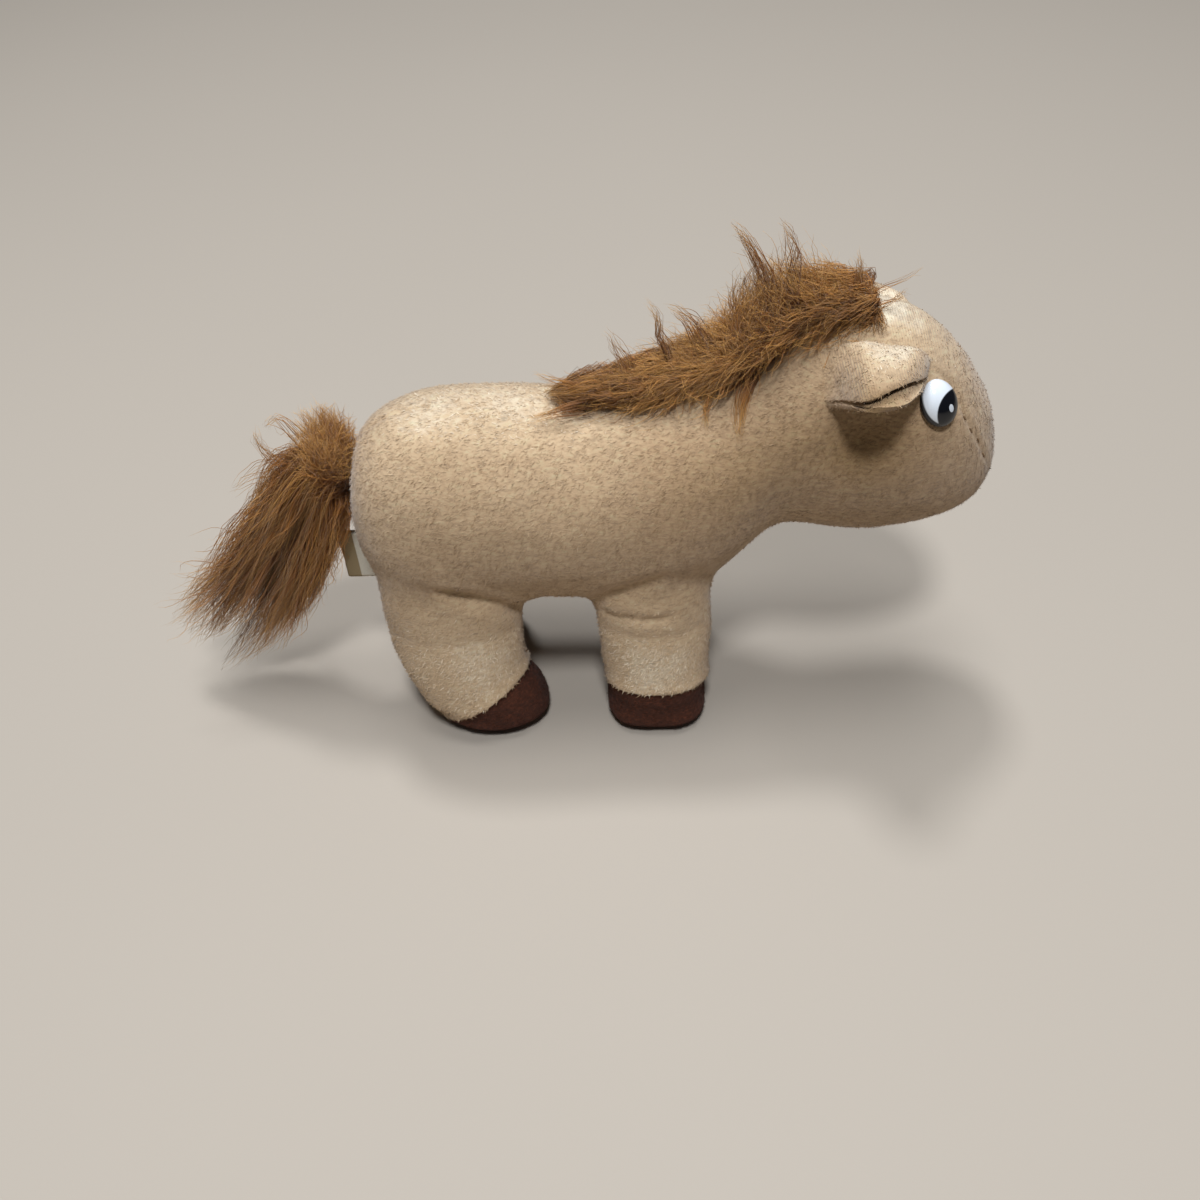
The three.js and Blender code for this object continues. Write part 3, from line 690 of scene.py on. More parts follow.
def large_forms(points, normals):
    """How far the fabric is pushed out: the flanks tuck in, the legs spread and the cheeks are hollow."""
    x, y, z = points.T / MM
    across = np.clip(normals[:, 1] * np.sign(points[:, 1]), 0, 1) * (x < 45)
    out = -1.0 * MM * across * np.exp(-((z - 47) / 8) ** 2) * (np.abs(y) > 10)
    out += MM * across * np.interp(z, [3, 12, 34, 43], [0, 1.6, -1.6, 0])
    out += 1.2 * MM * np.exp(-((x + 2) / 9) ** 2 - ((z - 35) / 6) ** 2) * (normals[:, 2] < 0)
    for side in (-1, 1):
        away = np.linalg.norm(points / MM - np.array((62, side * 18, 88)), axis=1)
        out -= 2.9 * MM * np.exp(-(away / 9.5) ** 2)
    return out


def sculpt_coat(obj):
    points, normals = points_of(obj), normals_of(obj)
    tree = tree_of(obj)
    out = carve(points, tree) + carve(points, tree, mirror=True)
    out += 0.22 * MM * bumps(points, 13 * MM, 1) + 0.07 * MM * bumps(points, 3.2 * MM, 2)
    x, y, z = points.T / MM
    out += large_forms(points, normals)
    # The rear seam, with its stitches gathering the fabric about the tail's root
    seam = np.exp(-(y / 0.7) ** 2)
    out -= 0.45 * MM * seam * ((x < -30) & (z > 20))
    out -= 0.4 * MM * seam * ((x > 30) & (z < 62))
    root = points / MM - np.array(JOINTS["tail_sway"]["pos_m"]) / MM
    away = np.linalg.norm(root, axis=1)
    turn = np.arctan2(root[:, 1], root[:, 2])
    out -= MM * np.exp(-(away / 5.5) ** 2) * (1.1 + 0.35 * np.cos(7 * turn))
    # A shallow seat for each eye
    for side in (-1, 1):
        eye = np.array((EYE_PLACE.x, -side * EYE_PLACE.y, EYE_PLACE.z)) / MM
        away = np.linalg.norm(points / MM - eye, axis=1)
        out -= 0.5 * MM * np.exp(-(away / 5.0) ** 2)
    # The coat stands a little proud of each hoof, which is drawn in
    low = z < 30
    for leg in LEGS:
        middle, up = hoof_plane(leg)
        mine = low & ((x > LEG_MIDDLE_X / MM) == leg.startswith("fore")) & ((y < 0) == leg.endswith("right"))
        height = (points - np.array(middle)) @ np.array(up) / MM
        out += mine * np.where(height > 0, 0.45 * np.exp(-((height - 0.9) / 1.6) ** 2), 0.0) * MM
        out -= mine * (height <= 0) * 0.35 * np.clip(z / 2.5, 0, 1) * MM
        # and each hoof is full down to its sole
        flat = (points - np.array(middle)) * (1, 1, 0)
        turn = np.arctan2(flat[:, 1], flat[:, 0])
        square = 1.5 + 1.5 * leg.startswith("fore") * np.sin(2 * turn) ** 2
        fuller = square * MM * np.exp(-((z - 3.2) / 3.6) ** 2) * mine * (height <= 0)
        outside = np.linalg.norm(flat, axis=1, keepdims=True) > 4 * MM
        points = points + unit(flat) * fuller[:, None] * outside
    points = points + normals * out[:, None]
    points[:, 2] = np.maximum(points[:, 2], 0)
    set_points(obj, points)


def cut_along(obj, cuts):
    """Cuts edges into a mesh where planes cross it, and leaves it in one piece."""
    with opened(obj) as build:
        for middle, way, near in cuts:
            faces = [f for f in build.faces if near(f.calc_center_median())]
            edges = {e for f in faces for e in f.edges}
            verts = {v for f in faces for v in f.verts}
            geom = [*faces, *edges, *verts]
            bmesh.ops.bisect_plane(build, geom=geom, dist=1e-6, plane_co=middle, plane_no=way)


def region_of(centre, hooves=True):
    if (centre - NECK_START).dot(NECK_WAY) > 0 and centre.z > LEG_CUT:
        return "head"
    if centre.z < LEG_CUT:
        leg = leg_at(centre.x, centre.y)
        middle, up = hoof_plane(leg)
        if hooves and (centre - middle).dot(up) < 0:
            return leg + "_hoof"
        return leg
    return "body"


def split(obj, regions):
    """Parts a mesh by its faces' regions. Each part keeps the whole mesh's normals along its cut edges."""
    points, normals = points_of(obj), normals_of(obj)
    parts = {}
    for polygon, region in zip(obj.data.polygons, regions):
        parts.setdefault(region, []).append(tuple(polygon.vertices))
    result = {}
    for region, faces in parts.items():
        used = sorted({v for face in faces for v in face})
        place = {v: i for i, v in enumerate(used)}
        mesh = bpy.data.meshes.new(region)
        mesh.from_pydata(points[used].tolist(), [], [tuple(place[v] for v in face) for face in faces])
        smooth(mesh)
        part = link("part_" + region, mesh)
        result[region] = (part, points[used], normals[used])
    return result


def rim_of(obj):
    build = bmesh.new()
    build.from_mesh(obj.data)
    rim = {v.index for v in build.verts if v.is_boundary}
    build.free()
    return rim


def give_wall(part, whole_normals, wall, keep):
    """Gives a coat part its thickness. Cut edges that keep() accepts are shaded as on the whole coat."""
    rim = [v for v in rim_of(part) if keep(part.data.vertices[v].co)]
    add_modifier(part, "SOLIDIFY", thickness=wall, offset=-1, use_rim=True)
    apply_modifiers(part)
    smooth(part.data)
    chosen = np.zeros((len(part.data.vertices), 3))
    chosen[rim] = whole_normals[rim]
    part.data.normals_split_custom_set_from_vertices(chosen.tolist())


def bend_with(obj, body):
    """Parents a piece to its body's empty; a piece of the head or of a leg only has its transform baked in.
    """
    if body == "head":
        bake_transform(obj)
    elif body in LEGS:
        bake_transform(obj)
    else:
        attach(obj, body)


class PLUSH_OT_coat(bpy.types.Operator):
    """Makes the short-pile coat, the hooves and the stuffing"""
    bl_idname = "plush_horse.coat"
    bl_label = "Coat, hooves and stuffing"

    def execute(self, context):
        settings = context.scene.plush_horse.coat
        sources = [n for n in frame["nodes"] if n.endswith(("_skin", "_hoof", "_stuffing"))]
        coat = merged_copy("whole_coat", sources)
        add_modifier(coat, "REMESH", mode="VOXEL", voxel_size=settings.mesh_size, adaptivity=0)
        apply_modifiers(coat)
        keep_largest_shell(coat)
        round_off(coat, 9)
        swell(coat, settings.puff)
        round_off(coat, 2)
        stuffing = link("whole_stuffing", coat.data.copy())
        add_modifier(coat, "SUBSURF", levels=2, render_levels=2)
        apply_modifiers(coat)
        smooth(coat.data)
        sculpt_coat(coat)
        cuts = [
            (NECK_START, NECK_WAY, lambda c: abs((c - NECK_START).dot(NECK_WAY)) < 4 * MM and c.z > LEG_CUT),
            (Vector((0, 0, LEG_CUT)), Vector((0, 0, 1)), lambda c: abs(c.z - LEG_CUT) < 4 * MM),
        ]
        hoof_cuts = [
            (*hoof_plane(leg), lambda c, leg=leg: c.z < 28 * MM and leg_at(c.x, c.y) == leg) for leg in LEGS]
        cut_along(coat, cuts + hoof_cuts)
        regions = [region_of(p.center) for p in coat.data.polygons]
        made["coat"] = coat
        made["regions"] = regions
        parts = split(coat, regions)
        knit, felt = knit_finish(settings.colour), felt_finish(settings.hoof_colour)
        made["knit"] = knit
        for region, (part, _, normals) in parts.items():
            if region.endswith("_hoof"):
                self.finish_hoof(part, region, felt)
                continue
            level = region not in LEGS
            give_wall(part, normals, settings.wall, lambda co, level=level: level or co.z > LEG_CUT - MM)
            # The part's stored tones carry painted light and shade
            store_painted_tones(part)
            bend_with(named(part, "coat_" + region), region)
            dressed(part, knit, region + "_skin")
        self.fill(stuffing, cuts)
        return {"FINISHED"}

    def finish_hoof(self, part, region, felt):
        """Draws the hoof's upper edge up into the leg, so that the coat's edge overhangs it."""
        leg = region[:-len("_hoof")]
        _, up = hoof_plane(leg)
        with opened(part) as build:
            build.normal_update()
            edges = [e for e in build.edges if e.is_boundary]
            drawn = bmesh.ops.extrude_edge_only(build, edges=edges)["geom"]
            x, y = sum((e.verts[0].co.xy for e in edges), Vector((0, 0))) / len(edges)
            for vert in [g for g in drawn if isinstance(g, bmesh.types.BMVert)]:
                inward = Vector((x - vert.co.x, y - vert.co.y, 0)).normalized()
                vert.co += inward * 0.75 * MM + up * 1.3 * MM
            bmesh.ops.recalc_face_normals(build, faces=build.faces)
        add_modifier(part, "SOLIDIFY", thickness=0.9 * MM, offset=-1, use_rim=True)
        apply_modifiers(part)
        smooth(part.data)
        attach(named(part, "felt_" + region), leg)
        dressed(part, felt, region)

    def fill(self, stuffing, cuts):
        """Fibre filling inside each coat part, a little lumpy and clear of the fabric."""
        points, normals = points_of(stuffing), normals_of(stuffing)
        depth = (2.6 + 0.5 * bumps(points, 6 * MM, 5)) * MM - large_forms(points, normals)
        set_points(stuffing, points - normals * depth[:, None])
        cut_along(stuffing, cuts)
        parts = split(stuffing, [region_of(p.center, hooves=False) for p in stuffing.data.polygons])
        finish = stuffing_finish()
        for region, (part, _, _) in parts.items():
            with opened(part) as build:
                bmesh.ops.holes_fill(build, edges=[e for e in build.edges if e.is_boundary])
                bmesh.ops.recalc_face_normals(build, faces=build.faces)
            smooth(part.data)
            bend_with(named(part, "filling_" + region), region)
            dressed(part, finish, region + "_stuffing")
        drop(stuffing)


# Short pile

def scatter(points, normals, triangles, density, kept, rng):
    """Random points and their normals, so many to a square millimetre, thinned by each triangle's kept."""
    a, b, c = (points[triangles[:, i]] for i in range(3))
    size = np.linalg.norm(np.cross(b - a, c - a), axis=1)
    count = int(int(size.sum() / 2 / MM ** 2 * density) * kept.mean())
    size = size * kept
    chosen = np.searchsorted(np.cumsum(size) / size.sum(), rng.random(count))
    u, v = rng.random((2, count, 1))
    u, v = np.where(u + v > 1, 1 - u, u), np.where(u + v > 1, 1 - v, v)
    n = normals[triangles[chosen]]
    facing = unit(n[:, 0] * (1 - u - v) + n[:, 1] * u + n[:, 2] * v)
    return a[chosen] + u * (b - a)[chosen] + v * (c - a)[chosen], facing


def tone_cells(tones):
    return np.floor(np.clip(tones, 0, PALEST) * TONE_CELLS) / TONE_CELLS


def strand_uv(mesh, tones, ups):
    """Writes the strand map: tones across and heights up, one pair for each loop."""
    layer = mesh.uv_layers.new(name=STRAND_MAP)
    layer.data.foreach_set("uv", np.stack([tones, ups], 1).ravel())


# Painted light and shade: how pale the coat is painted by how far it faces up, paler on top and darker
# underneath
PAINTED_LIGHT_BY_TILT = ([-1, -0.3, 0, 0.3, 0.6, 0.8, 1], [0.34, 0.52, 0.57, 0.58, 0.6, 0.63, 0.85])
# Spots of painted light and shade, paler on the legs, forehead, rump and flank, darker on the neck, shoulder,
# chest, jaw, the cheeks under the ears and the ears' lower edges: middle, reach and change, for both sides
PAINTED_LIGHT_AND_SHADE_SPOTS = [
    ((44, 18, 82), 13, -0.22), ((62, 18, 86), 10, -0.28), ((68, 17, 72), 16, -0.13),
    ((24, 18, 80), 12, -0.13), ((31, 20, 66), 12, -0.08), ((62, 24.5, 100), 5, -0.4),
    ((74, 4, 104), 13, 0.14), ((18, 20, 24), 17, 0.31), ((-26, 20, 26), 19, 0.28),
    ((-45, 12, 72), 14, 0.06), ((-6, 22, 52), 20, 0.05),
]


def tones_with_painted_shade(points, tilt, rng, seed, scatter=0.07):
    """The coat's tone, 0 to 1, at points that face up by tilt, with its painted light and shade."""
    tones = np.interp(tilt, *PAINTED_LIGHT_BY_TILT)
    tones = tones + 0.05 * bumps(points, 1.1 * MM, seed) + 0.05 * bumps(points, 9 * MM, seed + 1)
    mirrored = np.abs(points / MM)
    mirrored[:, 0] = points[:, 0] / MM
    for middle, reach, change in PAINTED_LIGHT_AND_SHADE_SPOTS:
        tones += change * np.exp(-(np.linalg.norm(mirrored - np.array(middle), axis=1) / reach) ** 2)
    return tones + scatter * rng.normal(size=len(points))


def store_painted_tones(obj):
    """Stores the coat's tones, with their painted light and shade, on a fabric piece, for its finish to read.
    """
    points, normals = points_of(obj), normals_of(obj)
    tones = tones_with_painted_shade(points, normals[:, 2], np.random.default_rng(3), 7, 0.0)
    layer = obj.data.attributes.new("tone", "FLOAT", "POINT")
    layer.data.foreach_set("value", np.clip(tones, 0, 1).astype(np.float32))


def pile_blades(name, roots, normals, comb, length, width, rng, lift=(10, 34), tones=None, upward=0.0):
    """Short pile: a slim three-cornered clump at each root, combed over and shaded as the fabric is."""
    count = len(roots)
    wild = unit(rng.normal(size=(count, 3)))
    way = comb - (comb * normals).sum(1, keepdims=True) * normals
    way = unit(unit(way) + 0.42 * (wild - (wild * normals).sum(1, keepdims=True) * normals))
    rise = np.radians(rng.uniform(*lift, (count, 1)))
    way = way * np.cos(rise) + normals * np.sin(rise)
    side = unit(np.cross(way, normals)) * width * rng.uniform(0.35, 0.65, (count, 1))
    long = way * length * rng.uniform(0.65, 1.2, (count, 1))
    base = roots - normals * 0.08 * MM
    points = np.stack([base - side, base + side, base + long], 1).reshape(-1, 3)
    faces = np.arange(3 * count).reshape(-1, 3)
    obj = object_of(name, points, faces)
    tones = rng.random(count) if tones is None else tones
    cell = tone_cells(tones)
    spots = np.stack([cell + CELL_LOW, cell + CELL_HIGH, cell + CELL_MIDDLE], 1)
    strand_uv(obj.data, spots.ravel(), np.tile([0.02, 0.02, 0.98], count))
    facing = normals + 0.18 * wild + 0.2 * (normals * np.cos(rise) - way * np.sin(rise))
    facing[:, 2] += upward
    facing = unit(facing)
    obj.data.normals_split_custom_set_from_vertices(np.repeat(facing, 3, 0).tolist())
    return obj


def triangles_of(mesh):
    mesh.calc_loop_triangles()
    corners, faces = np.zeros(len(mesh.loop_triangles) * 3, int), np.zeros(len(mesh.loop_triangles), int)
    mesh.loop_triangles.foreach_get("vertices", corners)
    mesh.loop_triangles.foreach_get("polygon_index", faces)
    return corners.reshape(-1, 3), faces


class PLUSH_OT_short_pile(bpy.types.Operator):
    """Covers the coat with combed short pile and the hooves with felt fuzz"""
    bl_idname = "plush_horse.short_pile"
    bl_label = "Short pile"

    def execute(self, context):
        settings = context.scene.plush_horse.coat
        coat, regions = made["coat"], made["regions"]
        points, normals = points_of(coat), normals_of(coat)
        triangles, faces = triangles_of(coat.data)
        region = np.array(regions)[faces]
        rgb = settings.colour
        # The pile's tone ramp colours the painted light and shade of the coat's tones
        pile = strand_finish(
            "short_pile", shade(rgb, 0.88), shade(rgb, 0.98), shade(rgb, 1.04),
            COAT_TONES_AND_SHADE, 0.9, Sheen_Weight=0.25, Sheen_Roughness=0.6, Specular_IOR_Level=0.2)
        rgb = settings.hoof_colour
        fuzz = strand_finish(
            "hoof_fuzz", shade(rgb, 0.8), rgb, shade(rgb, 1.4), [(0.0, grey(0.6)), (1.0, grey(1))], 0.95,
            Specular_IOR_Level=0.15)
        rng = np.random.default_rng(11)
        for name in sorted(set(regions)):
            mine = region == name
            felt = name.endswith("_hoof")
            chosen = triangles[mine]
            density = settings.pile_density * (0.8 if felt else 1.7 if name in LEGS else 1)
            x, _, z = points[chosen].sum(1).T / 3 / MM
            thin = np.clip((z - 97) / 5, 0, 1) * np.clip((x - 48) / 8, 0, 1) * (not felt)
            roots, n = scatter(points, normals, chosen, density, 1 - 0.3 * thin, rng)
            count = len(roots)
            comb = np.tile((-0.85, 0, -0.5), (count, 1)) + 0.38 * rng.normal(size=(count, 3))
            if felt:
                roots[:, 2] = np.maximum(roots[:, 2], 0.3 * MM)
                keep = n[:, 2] > -0.6
                roots, n, comb = roots[keep], n[keep], comb[keep]
                obj = pile_blades("fuzz_" + name, roots, n, comb, 0.7 * MM, 0.2 * MM, rng, (15, 60))
                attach(obj, name[:-len("_hoof")])
                dressed(obj, fuzz)
                continue
            # Each clump takes the coat's tone, with its painted light and shade
            tones = tones_with_painted_shade(roots, n[:, 2], rng, 7)
            lift = (7, 27)
            if name in LEGS:
                comb += 0.4 * rng.normal(size=(count, 3))
                lift = (8, 34)
            bare = np.clip((roots[:, 2:] / MM - 95) / 7, 0, 1) * np.clip((roots[:, :1] / MM - 46) / 8, 0, 1)
            length = settings.pile_length * (1 - 0.35 * bare)
            # The legs' pile stands out from them, so it catches the light from above
            stands = np.clip((48 - roots[:, 2] / MM) / 12, 0, 1) * np.abs(n[:, 1])
            width = settings.pile_width
            obj = pile_blades("pile_" + name, roots, n, comb, length, width, rng, lift, tones, 0.75 * stands)
            bend_with(obj, name)
            dressed(obj, pile)
        made["pile"] = pile
        return {"FINISHED"}


# Long pile

def strands(name, paths, thickness, tones, rng, sides=3):
    """Tapered strands with closed ends, one along each path of points."""
    count, steps, _ = paths.shape
    tangent = unit(np.gradient(paths, axis=1))
    helper = unit(rng.normal(size=(count, 1, 3)))
    a = unit(np.cross(tangent, helper))
    b = np.cross(tangent, a)
    along = np.linspace(0, 1, steps)
    taper = np.interp(along, [0, 0.15, 0.55, 1], [0.55, 1, 0.85, 0.12])
    radius = 0.5 * thickness * taper[None, :, None, None] * rng.uniform(0.7, 1.3, (count, 1, 1, 1))
    turn = 2 * np.pi * np.arange(sides) / sides
    ring = a[:, :, None] * np.cos(turn)[:, None] + b[:, :, None] * np.sin(turn)[:, None]
    points = (paths[:, :, None] + ring * radius).reshape(-1, 3)
    row = (np.arange(count) * steps * sides)[:, None, None] + (np.arange(steps - 1) * sides)[None, :, None]
    j = np.arange(sides)[None, None, :]
    nxt = (j + 1) % sides
    quads = np.stack([row + j, row + nxt, row + nxt + sides, row + j + sides], -1).reshape(-1, 4)
    first = (np.arange(count) * steps * sides)[:, None]
    last = first + (steps - 1) * sides
    caps = np.concatenate([first + np.arange(sides)[::-1], last + np.arange(sides)], 0)
    mesh = bpy.data.meshes.new(name)
    corners = np.concatenate([quads.ravel(), caps.ravel()])
    starts = np.concatenate([np.arange(0, quads.size, 4), quads.size + np.arange(0, caps.size, 3)])
    mesh.vertices.add(len(points))
    mesh.vertices.foreach_set("co", points.ravel())
    mesh.loops.add(len(corners))
    mesh.loops.foreach_set("vertex_index", corners)
    mesh.polygons.add(len(starts))
    mesh.polygons.foreach_set("loop_start", starts)
    mesh.update(calc_edges=True)
    smooth(mesh)
    cell = tone_cells(tones)
    low, high = cell + CELL_LOW, cell + CELL_HIGH
    up = along[None, :-1, None]
    up_next = along[None, 1:, None]
    shape = (count, steps - 1, sides)
    u = np.stack([np.broadcast_to(x[:, None, None], shape) for x in (low, high, high, low)], -1)
    v = np.stack([np.broadcast_to(x, shape) for x in (up, up, up_next, up_next)], -1)
    cap_u = np.concatenate([np.stack([low, high, low], 1), np.stack([low, high, low], 1)])
    cap_v = np.concatenate([np.tile([0.0, 0.0, 0.01], (count, 1)), np.tile([0.99, 0.99, 1.0], (count, 1))])
    strand_uv(mesh, np.concatenate([u.ravel(), cap_u.ravel()]), np.concatenate([v.ravel(), cap_v.ravel()]))
    return link(name, mesh)


def curve_through(control, steps):
    """Smooth paths through control points: (n, m, 3) to (n, steps, 3)."""
    count, m, _ = control.shape
    t = np.linspace(0, m - 1, steps)
    i = np.minimum(t.astype(int), m - 2)
    f = (t - i)[None, :, None]
    before = control[:, np.maximum(i - 1, 0)]
    a, b = control[:, i], control[:, i + 1]
    after = control[:, np.minimum(i + 2, m - 1)]
    return 0.5 * (2 * a + (b - before) * f + (2 * before - 5 * a + 4 * b - after) * f ** 2
                  + (3 * a - before - 3 * b + after) * f ** 3)


def frizz(paths, amount, rng, crimp=0.34):
    """Waves each strand slowly and crimps it finely, more so towards the tip."""
    count, steps, _ = paths.shape
    t = np.linspace(0, 1, steps)[None, :, None]
    for size, low, high in ((amount, 0.5, 1.6), (amount, 0.7, 2.0), (amount * crimp, 2.6, 3.8)):
        way = unit(rng.normal(size=(count, 1, 3)))
        phase, pace = rng.uniform(0, 2 * np.pi, (count, 1, 1)), rng.uniform(low, high, (count, 1, 1))
        size = size * rng.uniform(0.3, 1.2, (count, 1, 1))
        paths = paths + way * size * t ** 1.1 * np.sin(phase + 2 * np.pi * pace * t)
    return paths


def gather(paths, centres, pull, power=1.6):
    """Draws strands together into locks towards their tips."""
    tree = KDTree(len(centres))
    middle = paths[:, paths.shape[1] // 2]
    for place, index in enumerate(centres):
        tree.insert(Vector(middle[index]), place)
    tree.balance()
    mine = np.array([centres[tree.find(Vector(p))[1]] for p in middle])
    t = np.linspace(0, 1, paths.shape[1])[None, :, None] ** power
    return paths + (paths[mine] - paths) * t * pull, mine


def wave_locks(paths, mine, amount, rng):
    """Waves the strands of a lock together, more so towards its tip."""
    most = mine.max() + 1
    t = np.linspace(0, 1, paths.shape[1])[None, :, None]
    for low, high in ((0.4, 1.0), (0.9, 1.7)):
        way = unit(rng.normal(size=(most, 1, 3)))[mine]
        phase = rng.uniform(0, 2 * np.pi, (most, 1, 1))[mine]
        pace = rng.uniform(low, high, (most, 1, 1))[mine]
        size = amount * rng.uniform(0.3, 1.2, (most, 1, 1))[mine]
        wave = np.sin(phase + 2 * np.pi * pace * t) - np.sin(phase)
        paths = paths + way * size * wave * np.minimum(1, 2.5 * t)
        amount = amount * 0.55
    return paths


HAIR_POINTS = 9  # points along one strand
MANE_START, MANE_END = -0.95 * MM, 64.05 * MM
# Along the mane: height of its middle, half width and half height, in mm, over a foot at 87.1
MANE_FORM = [
    (0, 88, 1.0, 0.6), (0.1, 88.2, 3.0, 1.4), (0.2, 89.6, 6, 3.6), (0.32, 91.3, 8.6, 5.6),
    (0.38, 92.5, 9.2, 7.2), (0.47, 94.6, 9.6, 8.8), (0.55, 97.6, 9.8, 9.8), (0.6, 101.4, 9.8, 11.6),
    (0.66, 104.6, 9.6, 13.2), (0.72, 106, 9.2, 13.2), (0.8, 106.2, 8.6, 11), (0.88, 105.6, 7.4, 9),
    (0.95, 105, 6.2, 7.4), (1, 104, 4.6, 4.6),
]


# From a strand that lies deep to one that catches the light
FUR_TONES = [(0.0, (0.4, 0.36, 0.3, 1)), (0.4, (0.8, 0.78, 0.72, 1)),
             (0.8, (1.1, 1.07, 0.93, 1)), (1.0, (1.36, 1.36, 1.2, 1))]


class PLUSH_OT_mane(bpy.types.Operator):
    """Grows the mane's long pile on its woven backing"""
    bl_idname = "plush_horse.mane"
    bl_label = "Mane"

    def execute(self, context):
        settings = context.scene.plush_horse.fur
        fur = strand_finish(
            "long_pile", settings.root_colour, settings.colour, settings.tip_colour,
            FUR_TONES, 0.52, Specular_IOR_Level=0.45, Sheen_Weight=0.15)
        made["fur"] = fur
        tree = tree_of(made["coat"])
        rng = np.random.default_rng(23)
        form = np.array(MANE_FORM)
        count = settings.mane_strands
        share = np.clip(rng.beta(1.15, 1.0, count), 0.01, 0.995)
        middle, half_wide, half_high = (np.interp(share, form[:, 0], form[:, i]) * MM for i in (1, 2, 3))
        angle = np.radians(rng.uniform(-28, 208, count))
        reach = rng.uniform(0.45, 1.04, count) ** 0.7
        x = MANE_START - 3 * MM + share * (MANE_END - MANE_START + 3 * MM)
        across, up = half_wide * np.cos(angle) * reach, half_high * np.sin(angle) * reach
        target = np.stack([x, across, middle + up], 1)
        # The hem is ragged: it hangs lower by locks
        uneven = target * (1, 1.6, 1.6)
        reach_out = 1 + 0.26 * bumps(uneven, 4.6 * MM, 41) + 0.16 * bumps(uneven, 2.4 * MM, 42)
        heart = np.stack([x, np.zeros(count), middle], 1)
        full = np.interp(share, [0, 0.3], [0.2, 1])
        target = heart + (target - heart) * (1 + (reach_out[:, None] - 1) * full[:, None])
        target[:, 0] += 2.2 * MM * bumps(uneven, 5 * MM, 43)
        low = np.clip(np.abs(np.cos(angle)) - 0.45, 0, 1) * (np.sin(angle) < 0.55)
        target[:, 2] -= low * 7 * MM * np.clip(bumps(target * (1, 0.3, 0.3), 4.2 * MM, 31) + 0.2, -0.25, 1)
        target[:, 1] += low * np.sign(target[:, 1]) * 1.6 * MM * bumps(target * (1, 0.3, 0.3), 3.1 * MM, 33)
        back = rng.uniform(2, 12.5, count) * MM * np.interp(share, [0, 0.3, 0.8, 1], [1.0, 1.0, 0.85, 0.25])
        root_x = np.clip(x + back, MANE_START + MM, MANE_END - MM)
        root_y = np.clip(3.1 * MM * np.cos(angle) + rng.normal(0, 0.7, count) * MM, -3.6 * MM, 3.6 * MM)
        roots, ups = np.zeros((count, 3)), np.zeros((count, 3))
        for index in range(count):
            hit, normal, _, _ = tree.ray_cast(Vector((root_x[index], root_y[index], 0.2)), Vector((0, 0, -1)))
            roots[index], ups[index] = hit, normal
        # A tip that would lie in the coat is lifted onto it
        for index in range(count):
            hit, normal, _, gap = tree.find_nearest(Vector(target[index]))
            if (Vector(target[index]) - hit).dot(normal) < 0.7 * MM:
                target[index] = hit + normal * rng.uniform(0.5, 1.6) * MM
        length = np.linalg.norm(target - roots, axis=1, keepdims=True)
        lift = ups * length * 0.42
        side = np.stack([np.zeros(count), np.cos(angle) * 0.2, np.zeros(count)], 1) * length
        knee = roots + lift + side + 0.18 * (target - roots)
        control = np.stack([roots - ups * 0.4 * MM, roots + 0.35 * (knee - roots) + 0.06 * lift, knee,
                            knee * 0.35 + target * 0.65 + 0.05 * lift, target], 1)
        paths = curve_through(control, HAIR_POINTS)
        centres = rng.choice(count, 620, replace=False)
        loose = rng.random((count, 1, 1)) < 0.5
        pull = np.where(loose, 0.1, 0.62) * rng.uniform(0.4, 1.1, (count, 1, 1))
        paths, mine = gather(paths, centres, pull)
        paths = wave_locks(paths, mine, 0.9 * MM * full[:, None, None], rng)
        paths = frizz(paths, np.where(loose, 1.5, 0.9) * MM, rng)
        # The fur is painted paler along the top, where the light falls, and darker along its hem, where shade
        # falls; it is also darker towards its rear end
        tones = 0.46 + 0.22 * rng.normal(size=count) + 0.2 * np.sin(mine * 1.7) + 0.24 * np.sin(angle)
        tones -= 0.35 * (1 - full) + 0.08
        tones = np.clip(tones, 0, PALEST)
        extra, extra_tones = self.wisps(rng, tree)
        paths, tones = np.concatenate([paths, extra]), np.concatenate([tones, extra_tones])
        ahead = (paths[:, 0] - np.array(NECK_PIVOT)) @ np.array(NECK_WAY) > 0
        # Four pieces keep each one's mesh small
        crest = ahead & (paths[:, -1, 0] > 42 * MM)
        withers = ~ahead & (paths[:, -1, 0] < 17 * MM)
        parts = {"neck": ~ahead & ~withers, "withers": withers, "head": ahead & ~crest, "crest": crest}
        for word, chosen in parts.items():
            obj = strands("mane_fur_" + word, paths[chosen], settings.thickness, tones[chosen], rng)
            bend_with(obj, "head")
            dressed(obj, fur, "mane_pile_" + word if word in ("neck", "head") else None)
        self.backing(context)
        return {"FINISHED"}

